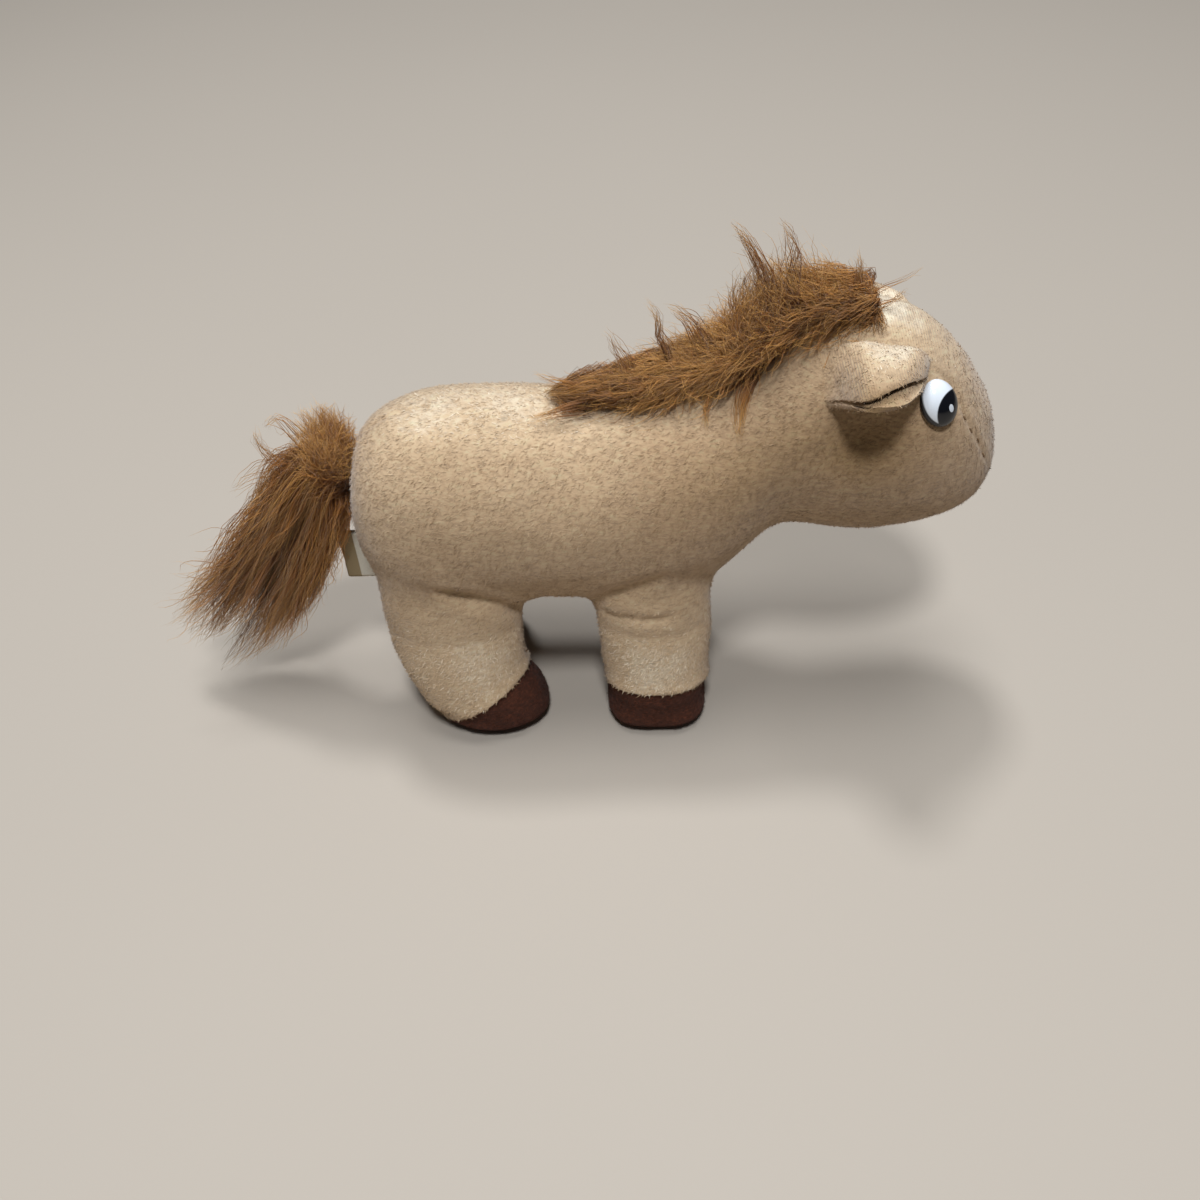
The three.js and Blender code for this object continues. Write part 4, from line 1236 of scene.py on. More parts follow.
    def wisps(self, rng, tree):
        """Loose locks and single hairs that stand out of the mane, each a bundle about a line in mm."""
        lines = [
            ([(43, -2, 106), (41.2, 0, 115), (38.4, 0, 120.5), (36.3, 0, 124.4), (34.5, 0, 126.3)], 46, 1.5),
            ([(22.6, -1, 93), (21.3, 0, 99.6), (19.6, 0, 103.3), (19.7, 0, 107.5), (17.5, 0, 111)], 26, 1.3),
            ([(15, -1, 90), (13.6, 0, 95), (11, 0, 100), (9.5, 0, 104)], 18, 2.0),
            ([(59, 0, 106), (59.8, 0, 110.9), (60.1, 0, 115.3), (58.9, 0, 119.2)], 34, 1.5),
            ([(61, -2, 106), (63.6, -2, 108.4), (67, -2, 109.6), (69.2, -2, 111.2)], 12, 1.2),
            ([(60, -1, 107), (64, 0, 110.6), (68, 0, 112.8), (72.4, 0, 115.2)], 5, 1.0),
            ([(46, 0, 112), (47, 0, 119), (45.5, 0, 123.5), (44, 0, 126)], 22, 2.4),
            ([(30, -1, 98), (27, 0, 104.5), (24.5, 0, 107.5), (22, 0, 109)], 26, 2.0),
            ([(32, -4, 92), (30.5, -6.8, 91.6), (29.2, -9.8, 89.6), (29.2, -12.6, 87.2)], 20, 0.9),
            ([(39, -4, 95), (37.6, -7.6, 93.6), (36.3, -11, 90), (35.9, -14.6, 85.8)], 60, 1.6),
            ([(8, -1, 89.4), (2, 0.5, 90.5), (-2.5, 1, 91.6), (-6, 1, 93)], 20, 1.6),
            ([(6, -4, 88.4), (0, -6, 88.6), (-4, -7, 88), (-7.6, -8, 87.6)], 26, 1.5),
        ]
        paths, tones = [], []
        for line, count, spread in lines:
            line = np.array(line) * MM
            for _ in range(count):
                offset = rng.normal(size=3) * spread * MM * 0.5
                grow = np.linspace(1.5, 0.35, len(line))[:, None]
                stretch = rng.uniform(0.72, 1.04)
                control = line[0] + (line - line[0]) * stretch + offset * grow
                path = curve_through(control[None], HAIR_POINTS)[0]
                start = tree.find_nearest(Vector(path[0]))[0]
                path[0] = path[0] * 0.4 + np.array(start) * 0.6
                paths.append(path)
                tones.append(np.clip(rng.normal(0.62, 0.2), 0, PALEST))
        # A haze of fine single hairs along the top
        for index in range(1700):
            share = rng.uniform(0.03, 0.93)
            form = np.array(MANE_FORM)
            middle, wide, high = (np.interp(share, form[:, 0], form[:, i]) * MM for i in (1, 2, 3))
            # and as many along its hem
            hem = index >= 850
            angle = math.radians(rng.choice([-20, 170]) + rng.uniform(0, 30) if hem else rng.uniform(5, 175))
            x = MANE_START + share * (MANE_END - MANE_START)
            across, up = wide * math.cos(angle), high * math.sin(angle)
            start = np.array((x + 3 * MM, across * 0.4, middle + up * 0.35))
            tip = np.array((x - rng.uniform(-3, 4) * MM, across, middle + up))
            tip += (tip - start) * rng.uniform(0.0, 0.3) + rng.normal(size=3) * 1.2 * MM
            if hem:
                tip += np.array((-rng.uniform(0, 4), 0, -rng.uniform(0, 3.5))) * MM
                hit, normal, _, _ = tree.find_nearest(Vector(tip))
                if (Vector(tip) - hit).dot(normal) < 0.8 * MM:
                    tip = np.array(hit + normal * rng.uniform(0.5, 1.8) * MM)
            bow = start * 0.5 + tip * 0.5 + rng.normal(size=3) * 1.6 * MM
            paths.append(curve_through(np.stack([start, bow, tip])[None], HAIR_POINTS)[0])
            tones.append(np.clip(rng.normal(0.8, 0.15), 0, PALEST))
        paths = frizz(np.array(paths), 0.8 * MM, rng)
        return paths, np.array(tones)

    def backing(self, context):
        """The woven strip under the fur, laid along the coat, in two parts that meet where the neck bends."""
        rgb = shade(context.scene.plush_horse.fur.root_colour, 1.25)
        weave = weave_finish("woven_backing", rgb, 0.5 * MM)
        made["weave"] = weave
        tree = tree_of(made["coat"])
        seam_x = NECK_START.x - 7.5 * MM
        for word, low, high in (("neck", MANE_START, seam_x), ("head", seam_x, MANE_END)):
            def place(u, v, low=low, high=high):
                x = low + u * (high - low)
                end = min(1.0, (x - MANE_START) / (5 * MM), (MANE_END - x) / (3 * MM))
                y = (v - 0.5) * (2.4 + 4.0 * math.sqrt(max(0.0, end))) * MM
                hit, normal, _, _ = tree.ray_cast(Vector((x, y, 0.2)), Vector((0, 0, -1)))
                return hit + normal * (0.75 - 0.5 * (1 - max(0.0, end)) ** 2) * MM
            strip = sheet_grid("strip", 60, 8, place)
            add_modifier(strip, "SOLIDIFY", thickness=0.8 * MM, offset=0)
            add_modifier(strip, "BEVEL", width=0.15 * MM, segments=2)
            apply_modifiers(strip)
            face_out(strip)
            smooth(strip.data)
            bend_with(named(strip, "mane_strip_" + word), "head")
            dressed(strip, weave, "mane_backing_" + word)


# The tail hangs between three lines, in mm: its rear edge, its middle and its front edge
TAIL_LINES = np.array([[(x, 0, z) for x, z in line] for line in (
    [(-53, 76), (-60.8, 76), (-67, 68.5), (-73.8, 57.5), (-82.5, 44.5), (-92.5, 34), (-101, 26)],
    [(-52, 72), (-57.5, 67), (-62.8, 57), (-69, 46), (-76, 34), (-83.5, 22), (-91, 10)],
    [(-49, 71), (-50.2, 66), (-53, 58), (-57.2, 48.5), (-62, 38.5), (-68, 28.5), (-74.5, 19.5)],
)]) * MM
# The parting, whose strands are darkened as painted shade: how far rear of the tail's middle, and half its
# width, as shares of half the tail
PARTING, PARTING_WIDTH = 0.12, 0.13
TAIL_THICK = [(0, 4.4), (0.2, 7.0), (0.5, 8.0), (0.8, 6.6), (1, 3.5)]
# Its locks: how far across from rear (-1) to front (1), and where the tip hangs, x and z in mm
TAIL_LOCKS = [
    (-1, -105, 21.5), (-0.8, -103.5, 16.5), (-0.58, -98.5, 13.5), (-0.3, -88, 22), (-0.06, -96.5, 0.8),
    (0.16, -92, 4.5), (0.4, -87, 6.5), (0.64, -81.5, 10.5), (0.84, -76.5, 16), (1, -73, 21.5),
]


class PLUSH_OT_tail(bpy.types.Operator):
    """Grows the tail's long pile on its rolled backing, with its tab"""
    bl_idname = "plush_horse.tail"
    bl_label = "Tail"

    def execute(self, context):
        settings = context.scene.plush_horse.fur
        rng = np.random.default_rng(37)
        count = settings.tail_strands
        # Where a strand lies round the tail, and how far down it starts and ends
        around = rng.uniform(0, 2 * np.pi, count)
        depth = rng.uniform(0.3, 1.0, count) ** 0.6
        across = np.cos(around) * depth * 1.12
        near = np.sin(around) < 0
        parting = (np.abs(across + PARTING) < PARTING_WIDTH) & near
        depth = np.where(parting, depth * 0.4, depth)
        across = np.where(parting, across, across + 0.06 * np.sign(across + PARTING))
        start = rng.beta(0.8, 1.7, count) * 0.62
        end = np.minimum(start + rng.uniform(0.34, 0.66, count), rng.uniform(0.84, 1.04, count))
        locks = np.array(TAIL_LOCKS)
        lock = np.abs(across[:, None] + 0.08 * rng.normal(size=(count, 1)) - locks[None, :, 0]).argmin(1)
        layer = rng.choice([-0.62, 0, 0.62], count)
        layer = np.where(np.abs(layer - np.sin(around) * depth) < 0.7, layer, 0)
        tips = np.stack([locks[lock, 1], layer * 5.0, locks[lock, 2]], 1) * MM
        paths = np.zeros((count, HAIR_POINTS, 3))
        for step, t in enumerate(np.linspace(0, 1, HAIR_POINTS)):
            s = start + (end - start) * t
            out = np.clip(t * 2.4, 0, 1) ** 0.7
            own = self.spot(across * (0.45 + 0.55 * out), s)
            thick = np.interp(s, *np.array(TAIL_THICK).T) * MM
            own[:, 1] = thick * np.sin(around) * depth * (0.15 + 0.85 * out)
            pull = np.clip((s - 0.5) / 0.55, 0, 1) ** 1.5 * rng.uniform(0.75, 0.95, count)
            paths[:, step] = own + (tips - own) * pull[:, None]
        centres = rng.choice(count, 300, replace=False)
        loose = rng.random((count, 1, 1)) < 0.45
        pull = np.where(loose, 0.12, 0.7) * rng.uniform(0.4, 1.1, (count, 1, 1))
        paths, mine = gather(paths, centres, pull)
        paths = frizz(wave_locks(paths, mine, 1.9 * MM, rng), np.where(loose, 2.3, 1.3) * MM, rng)
        # Painted light: the front lobe's strands are paler, where the light falls
        tones = 0.5 + 0.2 * rng.normal(size=count) + 0.14 * np.sin(mine * 2.3) + 0.44 * np.clip(across, 0, 1)
        # Painted shade: the strands in the parting are darkened
        tones[parting] *= 0.15
        tones = np.clip(tones, 0, PALEST)
        obj = strands("tail_fur", paths, settings.thickness * 1.1, tones, rng)
        # The tuft stays at the seam while the tail lifts, and the long loose hairs go with the tail
        paths, tones, tuft = self.puff(rng)
        parts = (("tail_puff", "tail_root", slice(tuft)), ("tail_wisps", "tail", slice(tuft, None)))
        for name, body, part in parts:
            loose = strands(name, paths[part], settings.thickness, tones[part], rng)
            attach(loose, body)
            dressed(loose, made["fur"])
        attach(obj, "tail")
        dressed(obj, made["fur"], "tail_pile")
        self.roll()
        self.tab()
        return {"FINISHED"}

    def spot(self, across, down):
        """Points of the tail's middle sheet, from -1 (rear) to 1 (front) across and 0 to 1 down."""
        at = np.clip(down, 0, 1.05) * (TAIL_LINES.shape[1] - 1)
        i = np.minimum(at.astype(int), TAIL_LINES.shape[1] - 2)
        f = (at - i)[:, None]
        rear, middle, front = (line[i] * (1 - f) + line[i + 1] * f for line in TAIL_LINES)
        a = across[:, None]
        return middle + a * (front - rear) / 2 + a * a * ((front + rear) / 2 - middle)

    def puff(self, rng):
        """Fur that stands up over the tail's root and hides its tab, with the loose hairs round the tail."""
        paths, tones = [], []
        root = np.array((-51.2, 0, 70)) * MM
        turns = np.radians([35, 60, 80, 95, 115, 135, 155, 180, 205, 230])
        reaches = np.array([5, 10, 16.5, 18, 18, 15.5, 13, 13, 14.5, 17])
        for _ in range(2100):
            turn = rng.uniform(turns[0], turns[-1]) if rng.random() < 0.62 else rng.normal(1.8, 0.3)
            side = rng.uniform(-1, 1)
            reach = np.interp(turn, turns, reaches) * rng.uniform(0.5, 1.02)
            reach *= math.sqrt(1 - 0.5 * side * side)
            way = np.array((math.cos(turn), 0, math.sin(turn)))
            tip = root + (way * reach + np.array((0, side * 6.6, 0))) * MM
            tip[2] -= max(0.0, turn - 2.4) * 3.2 * MM
            start = root + np.array((rng.uniform(-5, 3), side * 2.2, rng.uniform(-6, 3))) * MM
            bow = np.array((-0.6, side * 2.2, 1.6)) + 0.6 * rng.normal(size=3)
            knee = start * 0.5 + tip * 0.5 + bow * MM
            paths.append(curve_through(np.stack([start, knee, tip])[None], HAIR_POINTS)[0])
            # Painted light: strands that rise are paler, and those that hang rearwards darker
            tones.append(np.clip(rng.normal(0.62, 0.2) + 0.14 * math.sin(turn), 0, PALEST))
        lines = [
            ([(-57, -1, 68), (-63, -2, 71.7), (-65.6, -2, 75.2), (-67.6, -2, 78.7), (-67.7, -2, 82.3)],
             22, 1.4),
            ([(-57, 0, 74), (-60, 0, 79.5), (-61.8, 0, 83.2), (-64, 0, 84.2), (-66, 0, 82)], 12, 1.4),
            ([(-60, 0, 68), (-68, 0, 70), (-73, 0, 68.5), (-78, 0, 65)], 10, 2.6),
            ([(-72, 0, 50), (-82, 0, 46), (-90, 0, 39), (-97, 0, 34.5)], 14, 3.0),
            ([(-70, -3, 46), (-76, -6, 38), (-80, -8, 33), (-83, -8, 30)], 10, 4.0),
        ]
        for line, count, spread in lines:
            line = np.array(line) * MM
            for _ in range(count):
                grow = np.linspace(1.4, 0.4, len(line))[:, None]
                control = line + rng.normal(size=3) * spread * 0.5 * MM * grow
                paths.append(curve_through(control[None], HAIR_POINTS)[0])
                tones.append(np.clip(rng.normal(0.72, 0.15), 0, PALEST))
            # The locks that rise over the root belong to the tuft
            if line[-1, 2] > 80 * MM:
                tuft = len(paths)
        # Fur that leaves the root rearwards and then hangs down, so that tuft and tail are one mass
        count = 900
        across, s = rng.uniform(-1.0, 0.5, count), rng.uniform(0.12, 0.4, count)
        y = rng.normal(0, 1, count)
        start = root + np.stack([rng.uniform(-3, 2.6, count), 1.6 * y, rng.uniform(-4, 3, count)], 1) * MM
        ends = self.spot(across, s + rng.uniform(0.08, 0.2, count))
        bend = self.spot(across * 0.95, s * 0.62)
        bend[:, 1], ends[:, 1] = 3.4 * y * MM, 4.4 * y * MM
        bend[:, 2] += rng.uniform(0, 2.2, count) * MM
        control = np.stack([start, start * 0.45 + bend * 0.55, bend, ends], 1)
        paths += list(curve_through(control, HAIR_POINTS))
        # Painted shade: the hanging fur in the parting is darker
        parting = np.abs(across + PARTING) < PARTING_WIDTH
        tones += list(np.clip(rng.normal(0.55, 0.2, count) - 0.25 * parting, 0, PALEST))
        # Single hairs that stray from the tail's sides
        count = 420
        s = rng.uniform(0.1, 0.8, count)
        across = rng.choice([-1, 1], count) * rng.uniform(0.75, 1.0, count)
        y = rng.normal(0, 3.6, count) * MM
        first = self.spot(across, s)
        last = self.spot(across * rng.uniform(1.0, 1.5, count), s + rng.uniform(0.15, 0.3, count))
        first[:, 1], last[:, 1] = y * 0.8, y * 1.5
        bow = first * 0.5 + last * 0.5 + rng.normal(size=(count, 3)) * 1.3 * MM
        strays = curve_through(np.stack([first, bow, last], 1), HAIR_POINTS)
        paths = np.concatenate([np.array(paths), strays])
        tones = np.concatenate([tones, np.clip(rng.normal(0.75, 0.15, count), 0, PALEST)])
        return frizz(paths, 1.1 * MM, rng), tones, tuft

    def roll(self):
        """The tail's backing: a strip of weave rolled up on itself."""
        low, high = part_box("tail_backing")
        top = Vector(((high.x - 2.4 * MM), 0, 69.2 * MM))
        way = Vector((-math.sin(math.radians(28)), 0, -math.cos(math.radians(28))))
        across = Vector((0, 1, 0))
        out = way.cross(across)

        def place(u, v):
            turn = u * 2.25 * 2 * math.pi
            radius = (0.55 + 1.45 * u) * MM
            return top + way * v * 27 * MM + across * radius * math.cos(turn) + out * radius * math.sin(turn)

        roll = sheet_grid("tail_roll", 72, 24, place)
        add_modifier(roll, "SOLIDIFY", thickness=0.4 * MM, offset=0)
        apply_modifiers(roll)
        face_out(roll)
        smooth(roll.data)
        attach(roll, "tail")
        dressed(roll, made["weave"], "tail_backing")

    def tab(self):
        """The tab in the rear seam that carries the tail: a doubled strip with rounded edges."""
        low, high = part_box("tail_tab")
        tab = named(added("cube", size=1, location=(low + high) / 2), "tail_strap")
        tab.scale = (high.x - low.x + 1.6 * MM, 1.5 * MM, high.z - low.z)
        only(tab)
        bpy.ops.object.transform_apply(location=True, rotation=True, scale=True)
        add_modifier(tab, "BEVEL", width=0.5 * MM, segments=3)
        add_modifier(tab, "SUBSURF", levels=1, render_levels=1)
        apply_modifiers(tab)
        smooth(tab.data)
        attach(tab, "tail_root")
        dressed(tab, made["weave"], "tail_tab")


# Ears

# The right ear's lines from its rear corner to its front one, in mm: where it is sewn to the head, and the
# free edges of its top layer and its lining
EAR_SEWN = [
    (50.6, -8.6, 101.2), (54.4, -8.4, 103), (58, -8.8, 104), (61.4, -9.1, 104.2),
    (65.2, -9.6, 103.5), (69, -9.5, 103), (71.6, -9.3, 102), (73.5, -9.8, 100.6),
]
EAR_FREE = [
    (51.4, -15.4, 94.6), (54, -19.2, 96.8), (56.9, -23.3, 100), (60, -24.8, 102.2),
    (63.8, -23.4, 103.3), (67.3, -20.7, 103), (70.6, -17, 101.2), (72.7, -14.1, 99.8),
]
EAR_LINED = [
    (51.4, -15.4, 94.2), (54, -19, 95.9), (57, -23.4, 99), (60.6, -25.7, 100.5),
    (64.6, -25.3, 100.5), (67.4, -23.4, 100.2), (70.8, -18.4, 99.7), (72.8, -14.2, 99.1),
]
EAR_STEPS = 80  # along each line
# Each ear: its side, how many degrees further it droops, and its puff in mm
EARS = {"right": (-1, 0, 1.7), "left": (1, 36, 0.5)}


class PLUSH_OT_ears(bpy.types.Operator):
    """Makes both ears, each a puffed top layer sewn to a lining"""
    bl_idname = "plush_horse.ears"
    bl_label = "Ears"

    def execute(self, context):
        knit = made["knit"]
        rng = np.random.default_rng(53)
        tree = tree_of(made["coat"])
        lines = (EAR_SEWN, EAR_FREE, EAR_LINED)
        sewn, free, lined = (curve_through(np.array([line]), EAR_STEPS + 1)[0] for line in lines)
        for word, (side, droop, puff) in EARS.items():
            hinge = Vector(JOINTS[f"ear_{word}_flap"]["pos_m"])
            tilt = math.radians(droop + 9)
            out = Vector((0, side * math.cos(tilt), -math.sin(tilt)))
            up = Vector((0, side * math.sin(tilt), math.cos(tilt)))

            def place(u, v, edge, puff, sunk):
                at = min(int(u * EAR_STEPS + 0.5), EAR_STEPS)
                a, b, share = Vector(sewn[at]), Vector(free[at]), v
                if sunk:
                    b.z -= 1.25
                    share = min(1.0, v / 0.8)
                dome = (1 - abs(2 * u - 1) ** (2 if u < 0.5 else 4)) * math.sin(math.pi * v ** 0.85) ** 0.7
                rise = puff * dome - sunk * (1 - v) ** 2
                spot = a + (b - a) * share + (Vector(edge[at]) - b) * max(0.0, v * 5 - 4)
                spot = (spot + Vector((0, -0.35, 0.94)) * rise) * MM
                spot.y *= -side
                turned = Matrix.Rotation(-side * math.radians(droop) * min(1.0, 1.5 * v), 3, "X")
                spot = hinge + turned @ (spot - hinge)
                # Its rear corner lies on the coat, and no part of it goes into the head
                hit, normal, _, _ = tree.find_nearest(spot)
                hold = max(0.0, 1 - u / 0.42, (u - 0.85) / 0.3, (1 - v / 0.6) * (side > 0))
                hold = hold * hold * (3 - 2 * hold)
                flush = float(np.interp(u, [0, 0.16, 0.42], [-1.1, -0.55, 0.25]))
                flush -= sunk * 0.4 + 0.4 * (side > 0)
                spot = spot.lerp(hit + normal * flush * MM, hold)
                least = float(np.interp(v, [0, 0.18], [-1.0 - sunk * 0.5, 0.35 - sunk * 0.35]))
                gap = (spot - hit).dot(normal)
                return spot + normal * max(0.0, min(least, flush) * MM - gap)

            start, end = hinge + out * 0.5 * MM, hinge + out * 5 * MM
            for layer, edge, swell, sunk in (("top", free, puff, 0.0), ("lining", lined, -0.5 * puff, 1.2)):
                ear = sheet_grid(f"ear_{layer}_{word}", 40, 32, lambda u, v: place(u, v, edge, swell, sunk))
                face_out(ear)
                if sum((n for n in normals_of(ear)), np.zeros(3)) @ np.array(up) < 0:
                    edited(ear, (bpy.ops.mesh.flip_normals, {}))
                add_modifier(ear, "SOLIDIFY", thickness=1.1 * MM, offset=0)
                add_modifier(ear, "BEVEL", width=0.5 * MM, segments=4, angle_limit=math.radians(50))
                apply_modifiers(ear)
                smooth(ear.data)
                # The ear's stored tones carry painted light and shade
                store_painted_tones(ear)
                self.cover(ear, f"pile_ear_{layer}_{word}", word, start, end, rng, context)
                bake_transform(ear)
                dressed(ear, knit, f"ear_{'outer' if layer == 'top' else 'lining'}_{word}")
        return {"FINISHED"}

    def cover(self, ear, name, word, start, end, rng, context):
        """Short pile on an ear's layer."""
        settings = context.scene.plush_horse.coat
        points, normals = points_of(ear), normals_of(ear)
        triangles, _ = triangles_of(ear.data)
        roots, n = scatter(points, normals, triangles, settings.pile_density, np.ones(len(triangles)), rng)
        comb = np.tile((-0.6, 0, -0.6), (len(roots), 1)) + 0.6 * rng.normal(size=(len(roots), 3))
        # The ear's pile takes the coat's tones, with their painted light and shade
        tones = tones_with_painted_shade(roots, n[:, 2], rng, 9)
        length, width = settings.pile_length * 0.75, settings.pile_width
        obj = pile_blades(name, roots, n, comb, length, width, rng, tones=tones)
        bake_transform(obj)
        dressed(obj, made["pile"])


# Eyes

class PLUSH_OT_eyes(bpy.types.Operator):
    """Makes the two oval eyes with their stems, and finishes their washers"""
    bl_idname = "plush_horse.eyes"
    bl_label = "Eyes"

    def execute(self, context):
        for word, side in (("right", -1), ("left", 1)):
            ball = added("uv_sphere", segments=64, ring_count=40, radius=1, location=(0, 0, 0))
            eye = named(ball, "button_eye_" + word)
            # A dome over a shallow back
            shape = points_of(eye)
            shape[:, 2] = np.where(shape[:, 2] > 0, shape[:, 2], shape[:, 2] * 0.22)
            shape = shape * np.array(EYE_HALF) * MM
            axes = np.array([tuple(a) for a in EYE_AXES])
            placed = shape @ axes + np.array(EYE_PLACE)
            if side > 0:
                placed[:, 1] *= -1
            set_points(eye, placed)
            face_out(eye)
            self.stem(eye, side)
            smooth(eye.data)
            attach(eye, "head")
            dressed(eye, eye_finish(side), "eye_" + word)
        washer = washer_finish()
        for word in ("right", "left"):
            node = frame["nodes"]["eye_washer_" + word]
            node.data.materials.clear()
            node.data.materials.append(washer)
        return {"FINISHED"}

    def stem(self, eye, side):
        """Adds the stem behind an eye, and joins it on."""
        out = Vector((EYE_AXES[2].x, -side * EYE_AXES[2].y, EYE_AXES[2].z))
        place = Vector((EYE_PLACE.x, -side * EYE_PLACE.y, EYE_PLACE.z)) - out * 3.4 * MM
        stem = added("cylinder", vertices=24, radius=1.5 * MM, depth=6.8 * MM, location=place)
        stem.rotation_mode = "QUATERNION"
        stem.rotation_quaternion = out.to_track_quat("Z", "Y")
        only(stem)
        bpy.ops.object.transform_apply(location=True, rotation=True, scale=True)
        add_modifier(stem, "BEVEL", width=0.25 * MM, segments=2)
        apply_modifiers(stem)
        only(eye, stem)
        bpy.ops.object.join()


# Tag and stitches

TAG_THREAD = 0.34 * MM
TAG_SHADOWED_END = 3.3 * MM


class PLUSH_OT_tag(bpy.types.Operator):
    """Makes the bare tag, a doubled tape folded at its end, which is coloured darker as painted shadow from
    the tail
    """
    bl_idname = "plush_horse.tag"
    bl_label = "Tag"

    def execute(self, context):
        settings = context.scene.plush_horse.tag
        low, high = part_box("tag")
        seam = high.x - 0.2 * MM
        length = seam - low.x

        def place(u, v):
            # The tape runs out from the seam, turns at its end and runs back
            run = abs(2 * u - 1)
            turn = math.sqrt(max(0.0, 1 - max(0.0, 1 - run / 0.12) ** 2)) if run < 0.12 else 1.0
            side = -1 if u < 0.5 else 1
            gap = 0.32 * MM * turn * (1 + 0.5 * math.sin(math.pi * min(1.0, run)))
            wave = 0.35 * MM * math.sin(2.4 * v + 1.2 * run) * (1 - run)
            return Vector((low.x + run * length, side * gap + wave, low.z + v * (high.z - low.z)))

        tape = sheet_grid("folded_tag", 64, 20, place)
        add_modifier(tape, "SOLIDIFY", thickness=settings.thickness, offset=0)
        apply_modifiers(tape)
        face_out(tape)
        smooth(tape.data)
        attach(tape, "tag")
        dressed(tape, weave_finish("tag_tape", settings.colour, TAG_THREAD), "tag")
        # Painted shadow: the folded end gets the darker colour
        tape.data.materials.append(weave_finish("tag_end_shadow", settings.end_shadow_colour, TAG_THREAD))
        for polygon in tape.data.polygons:
            polygon.material_index = int(polygon.center.x < low.x + TAG_SHADOWED_END)
        return {"FINISHED"}


class PLUSH_OT_stitches(bpy.types.Operator):
    """Sews the visible stitches beside the eyes and over the tail"""
    bl_idname = "plush_horse.stitches"
    bl_label = "Stitches"

    def execute(self, context):
        tree = tree_of(made["coat"])
        thread = thread_finish(context.scene.plush_horse.coat.thread_colour)
        rump = [(-50, 0.4, 75.5 - 2.2 * k) for k in range(2)] + [(-50, 0.3, 44 - 2.4 * k) for k in range(3)]
        groups = {
            "gusset_stitches_right": ("head", STITCHES, (0.5, 0.1, -1)),
            "gusset_stitches_left": ("head", [(x, -y, z) for x, y, z in STITCHES], (0.5, -0.1, -1)),
            "rump_stitches": ("body", rump, (0, 1, 0.25)),
        }
        for name, (body, places, way) in groups.items():
            stitches = []
            for spot in places:
                hit, normal, _, _ = tree.find_nearest(Vector(spot) * MM)
                way_here = (Vector(way) - normal * Vector(way).dot(normal)).normalized()
                stitch = added("uv_sphere", segments=10, ring_count=8, radius=1, location=(0, 0, 0))
                across = normal.cross(way_here)
                frame_here = Matrix((way_here, across, normal)).transposed().to_4x4()
                size = Matrix.Diagonal((0.85 * MM, 0.2 * MM, 0.26 * MM, 1))
                stitch.data.transform(Matrix.Translation(hit + normal * 0.12 * MM) @ frame_here @ size)
                stitches.append(stitch)
            only(*stitches)
            bpy.ops.object.join()
            piece = named(bpy.context.object, name)
            face_out(piece)
            smooth(piece.data)
            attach(piece, body)
            dressed(piece, thread)
        return {"FINISHED"}


# Stage

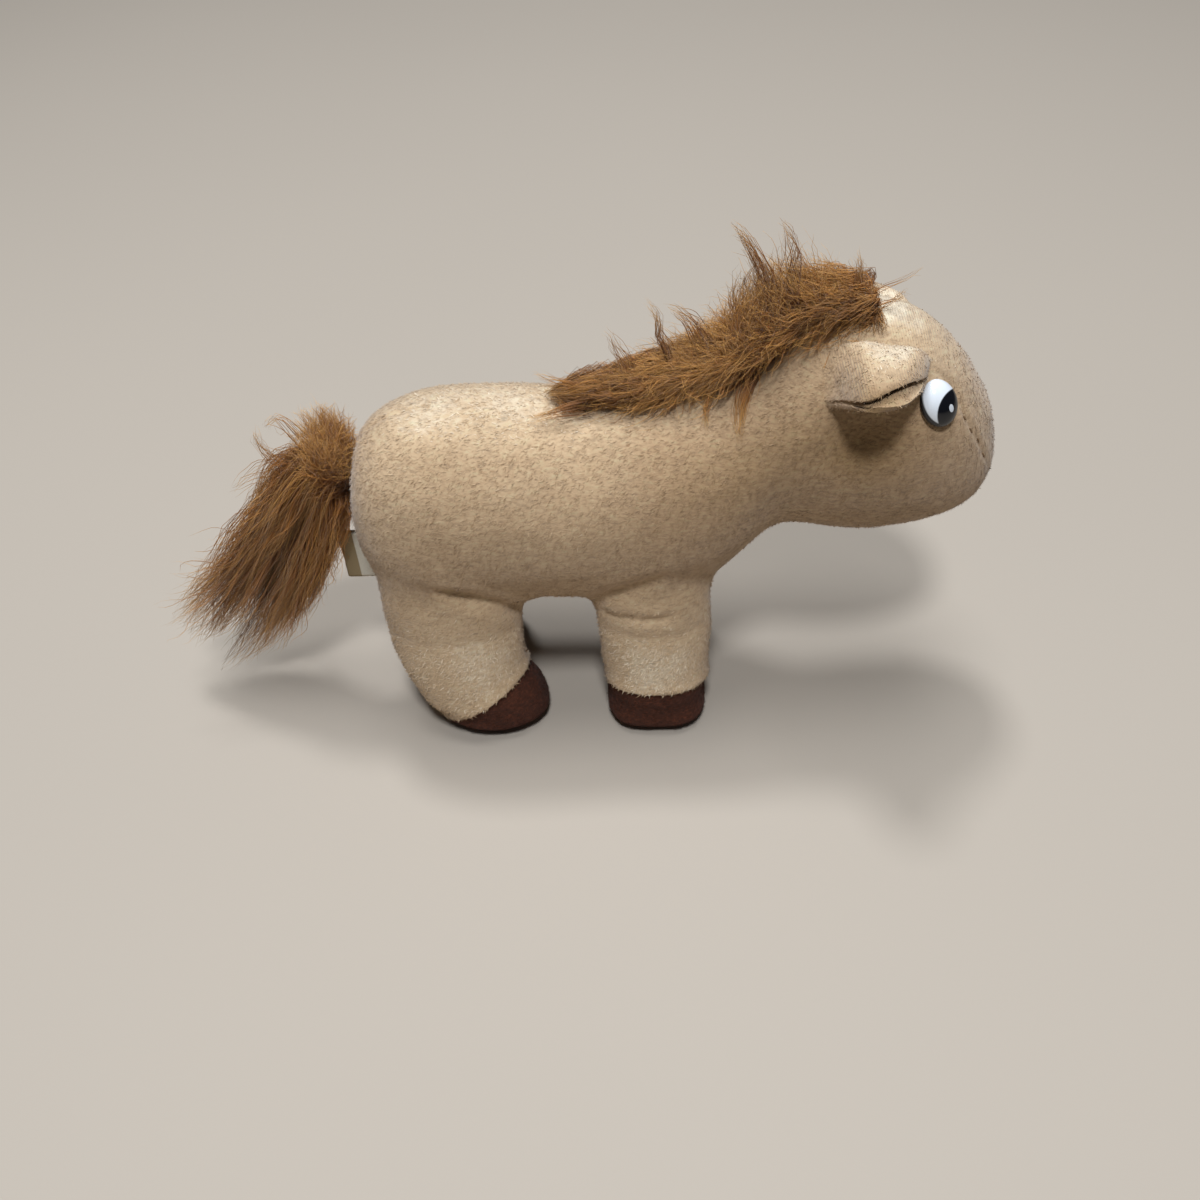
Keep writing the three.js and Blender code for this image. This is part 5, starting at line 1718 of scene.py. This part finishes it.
class PLUSH_OT_stage(bpy.types.Operator):
    """Makes the floor, the lights and the camera"""
    bl_idname = "plush_horse.stage"
    bl_label = "Stage"

    def execute(self, context):
        settings = context.scene.plush_horse.stage
        scene = context.scene
        floor = named(added("plane", size=6, location=(0, 0, 0)), "floor")
        floor.data.materials.append(floor_finish(settings.floor_colour))
        for name, place, size, power in (
                ("front_light", (0.02, -0.5, 1.12), settings.lamp_size, settings.front_power),
                ("rear_light", (-0.1, 0.3, 1.18), settings.lamp_size, settings.rear_power),
                ("top_light", (0, 0, 1.5), 0.6, settings.top_power)):
            bpy.ops.object.light_add(type="AREA", location=place)
            lamp = bpy.context.object
            lamp.name = name
            lamp.data.shape = "DISK"
            lamp.data.size = size
            lamp.data.energy = power
            lamp.data.color = (0.94, 0.99, 1.06)
            lamp.rotation_mode = "QUATERNION"
            lamp.rotation_quaternion = (lamp.location - Vector((0, 0, 0.06))).to_track_quat("Z", "Y")
        world = bpy.data.worlds.new("soft_fill")
        world.use_nodes = True
        background = world.node_tree.nodes["Background"]
        background.inputs["Color"].default_value = (0.93, 0.96, 1.0, 1)
        background.inputs["Strength"].default_value = settings.fill
        scene.world = world
        # The camera looks down on the horse's right side, turned a little
        across = Vector((0.99912, 0.0, -0.04186))
        down = Vector((-0.02932, -0.71369, -0.69985))
        ahead = Vector((-0.02988, 0.70046, -0.71306))
        bpy.ops.object.camera_add(location=(0.013916, -0.211107, 0.240))
        camera = bpy.context.object
        camera.name = "camera"
        matrix = Matrix((across, -down, -ahead)).transposed()
        camera.rotation_mode = "QUATERNION"
        camera.rotation_quaternion = matrix.to_quaternion()
        camera.data.lens = 36
        camera.data.sensor_width = 36
        camera.data.clip_start = 0.005
        scene.camera = camera
        scene.view_settings.view_transform = "Standard"
        return {"FINISHED"}


class PLUSH_PT_panel(bpy.types.Panel):
    """Lists the steps that build the plush horse"""
    bl_label = "Plush horse"
    bl_idname = "PLUSH_PT_panel"
    bl_space_type = "VIEW_3D"
    bl_region_type = "UI"
    bl_category = "Plush horse"

    def draw(self, context):
        for step in STEPS:
            self.layout.operator(step.bl_idname)
        settings = context.scene.plush_horse
        for group in (settings.coat, settings.fur, settings.tag, settings.stage):
            box = self.layout.box()
            for name in group.__annotations__:
                box.prop(group, name)


STEPS = (PLUSH_OT_coat, PLUSH_OT_short_pile, PLUSH_OT_mane, PLUSH_OT_tail, PLUSH_OT_ears, PLUSH_OT_eyes,
         PLUSH_OT_tag, PLUSH_OT_stitches, PLUSH_OT_stage)
CLASSES = (CoatSettings, FurSettings, TagSettings, StageSettings, HorseSettings, *STEPS, PLUSH_PT_panel)


def register():
    for cls in CLASSES:
        bpy.utils.register_class(cls)
    bpy.types.Scene.plush_horse = bpy.props.PointerProperty(type=HorseSettings)


def unregister():
    del bpy.types.Scene.plush_horse
    for cls in reversed(CLASSES):
        bpy.utils.unregister_class(cls)


def main():
    register()
    for step in STEPS:
        group, name = step.bl_idname.split(".")
        getattr(getattr(bpy.ops, group), name)()
    drop(made.pop("coat"))


if __name__ == "__main__":
    main()
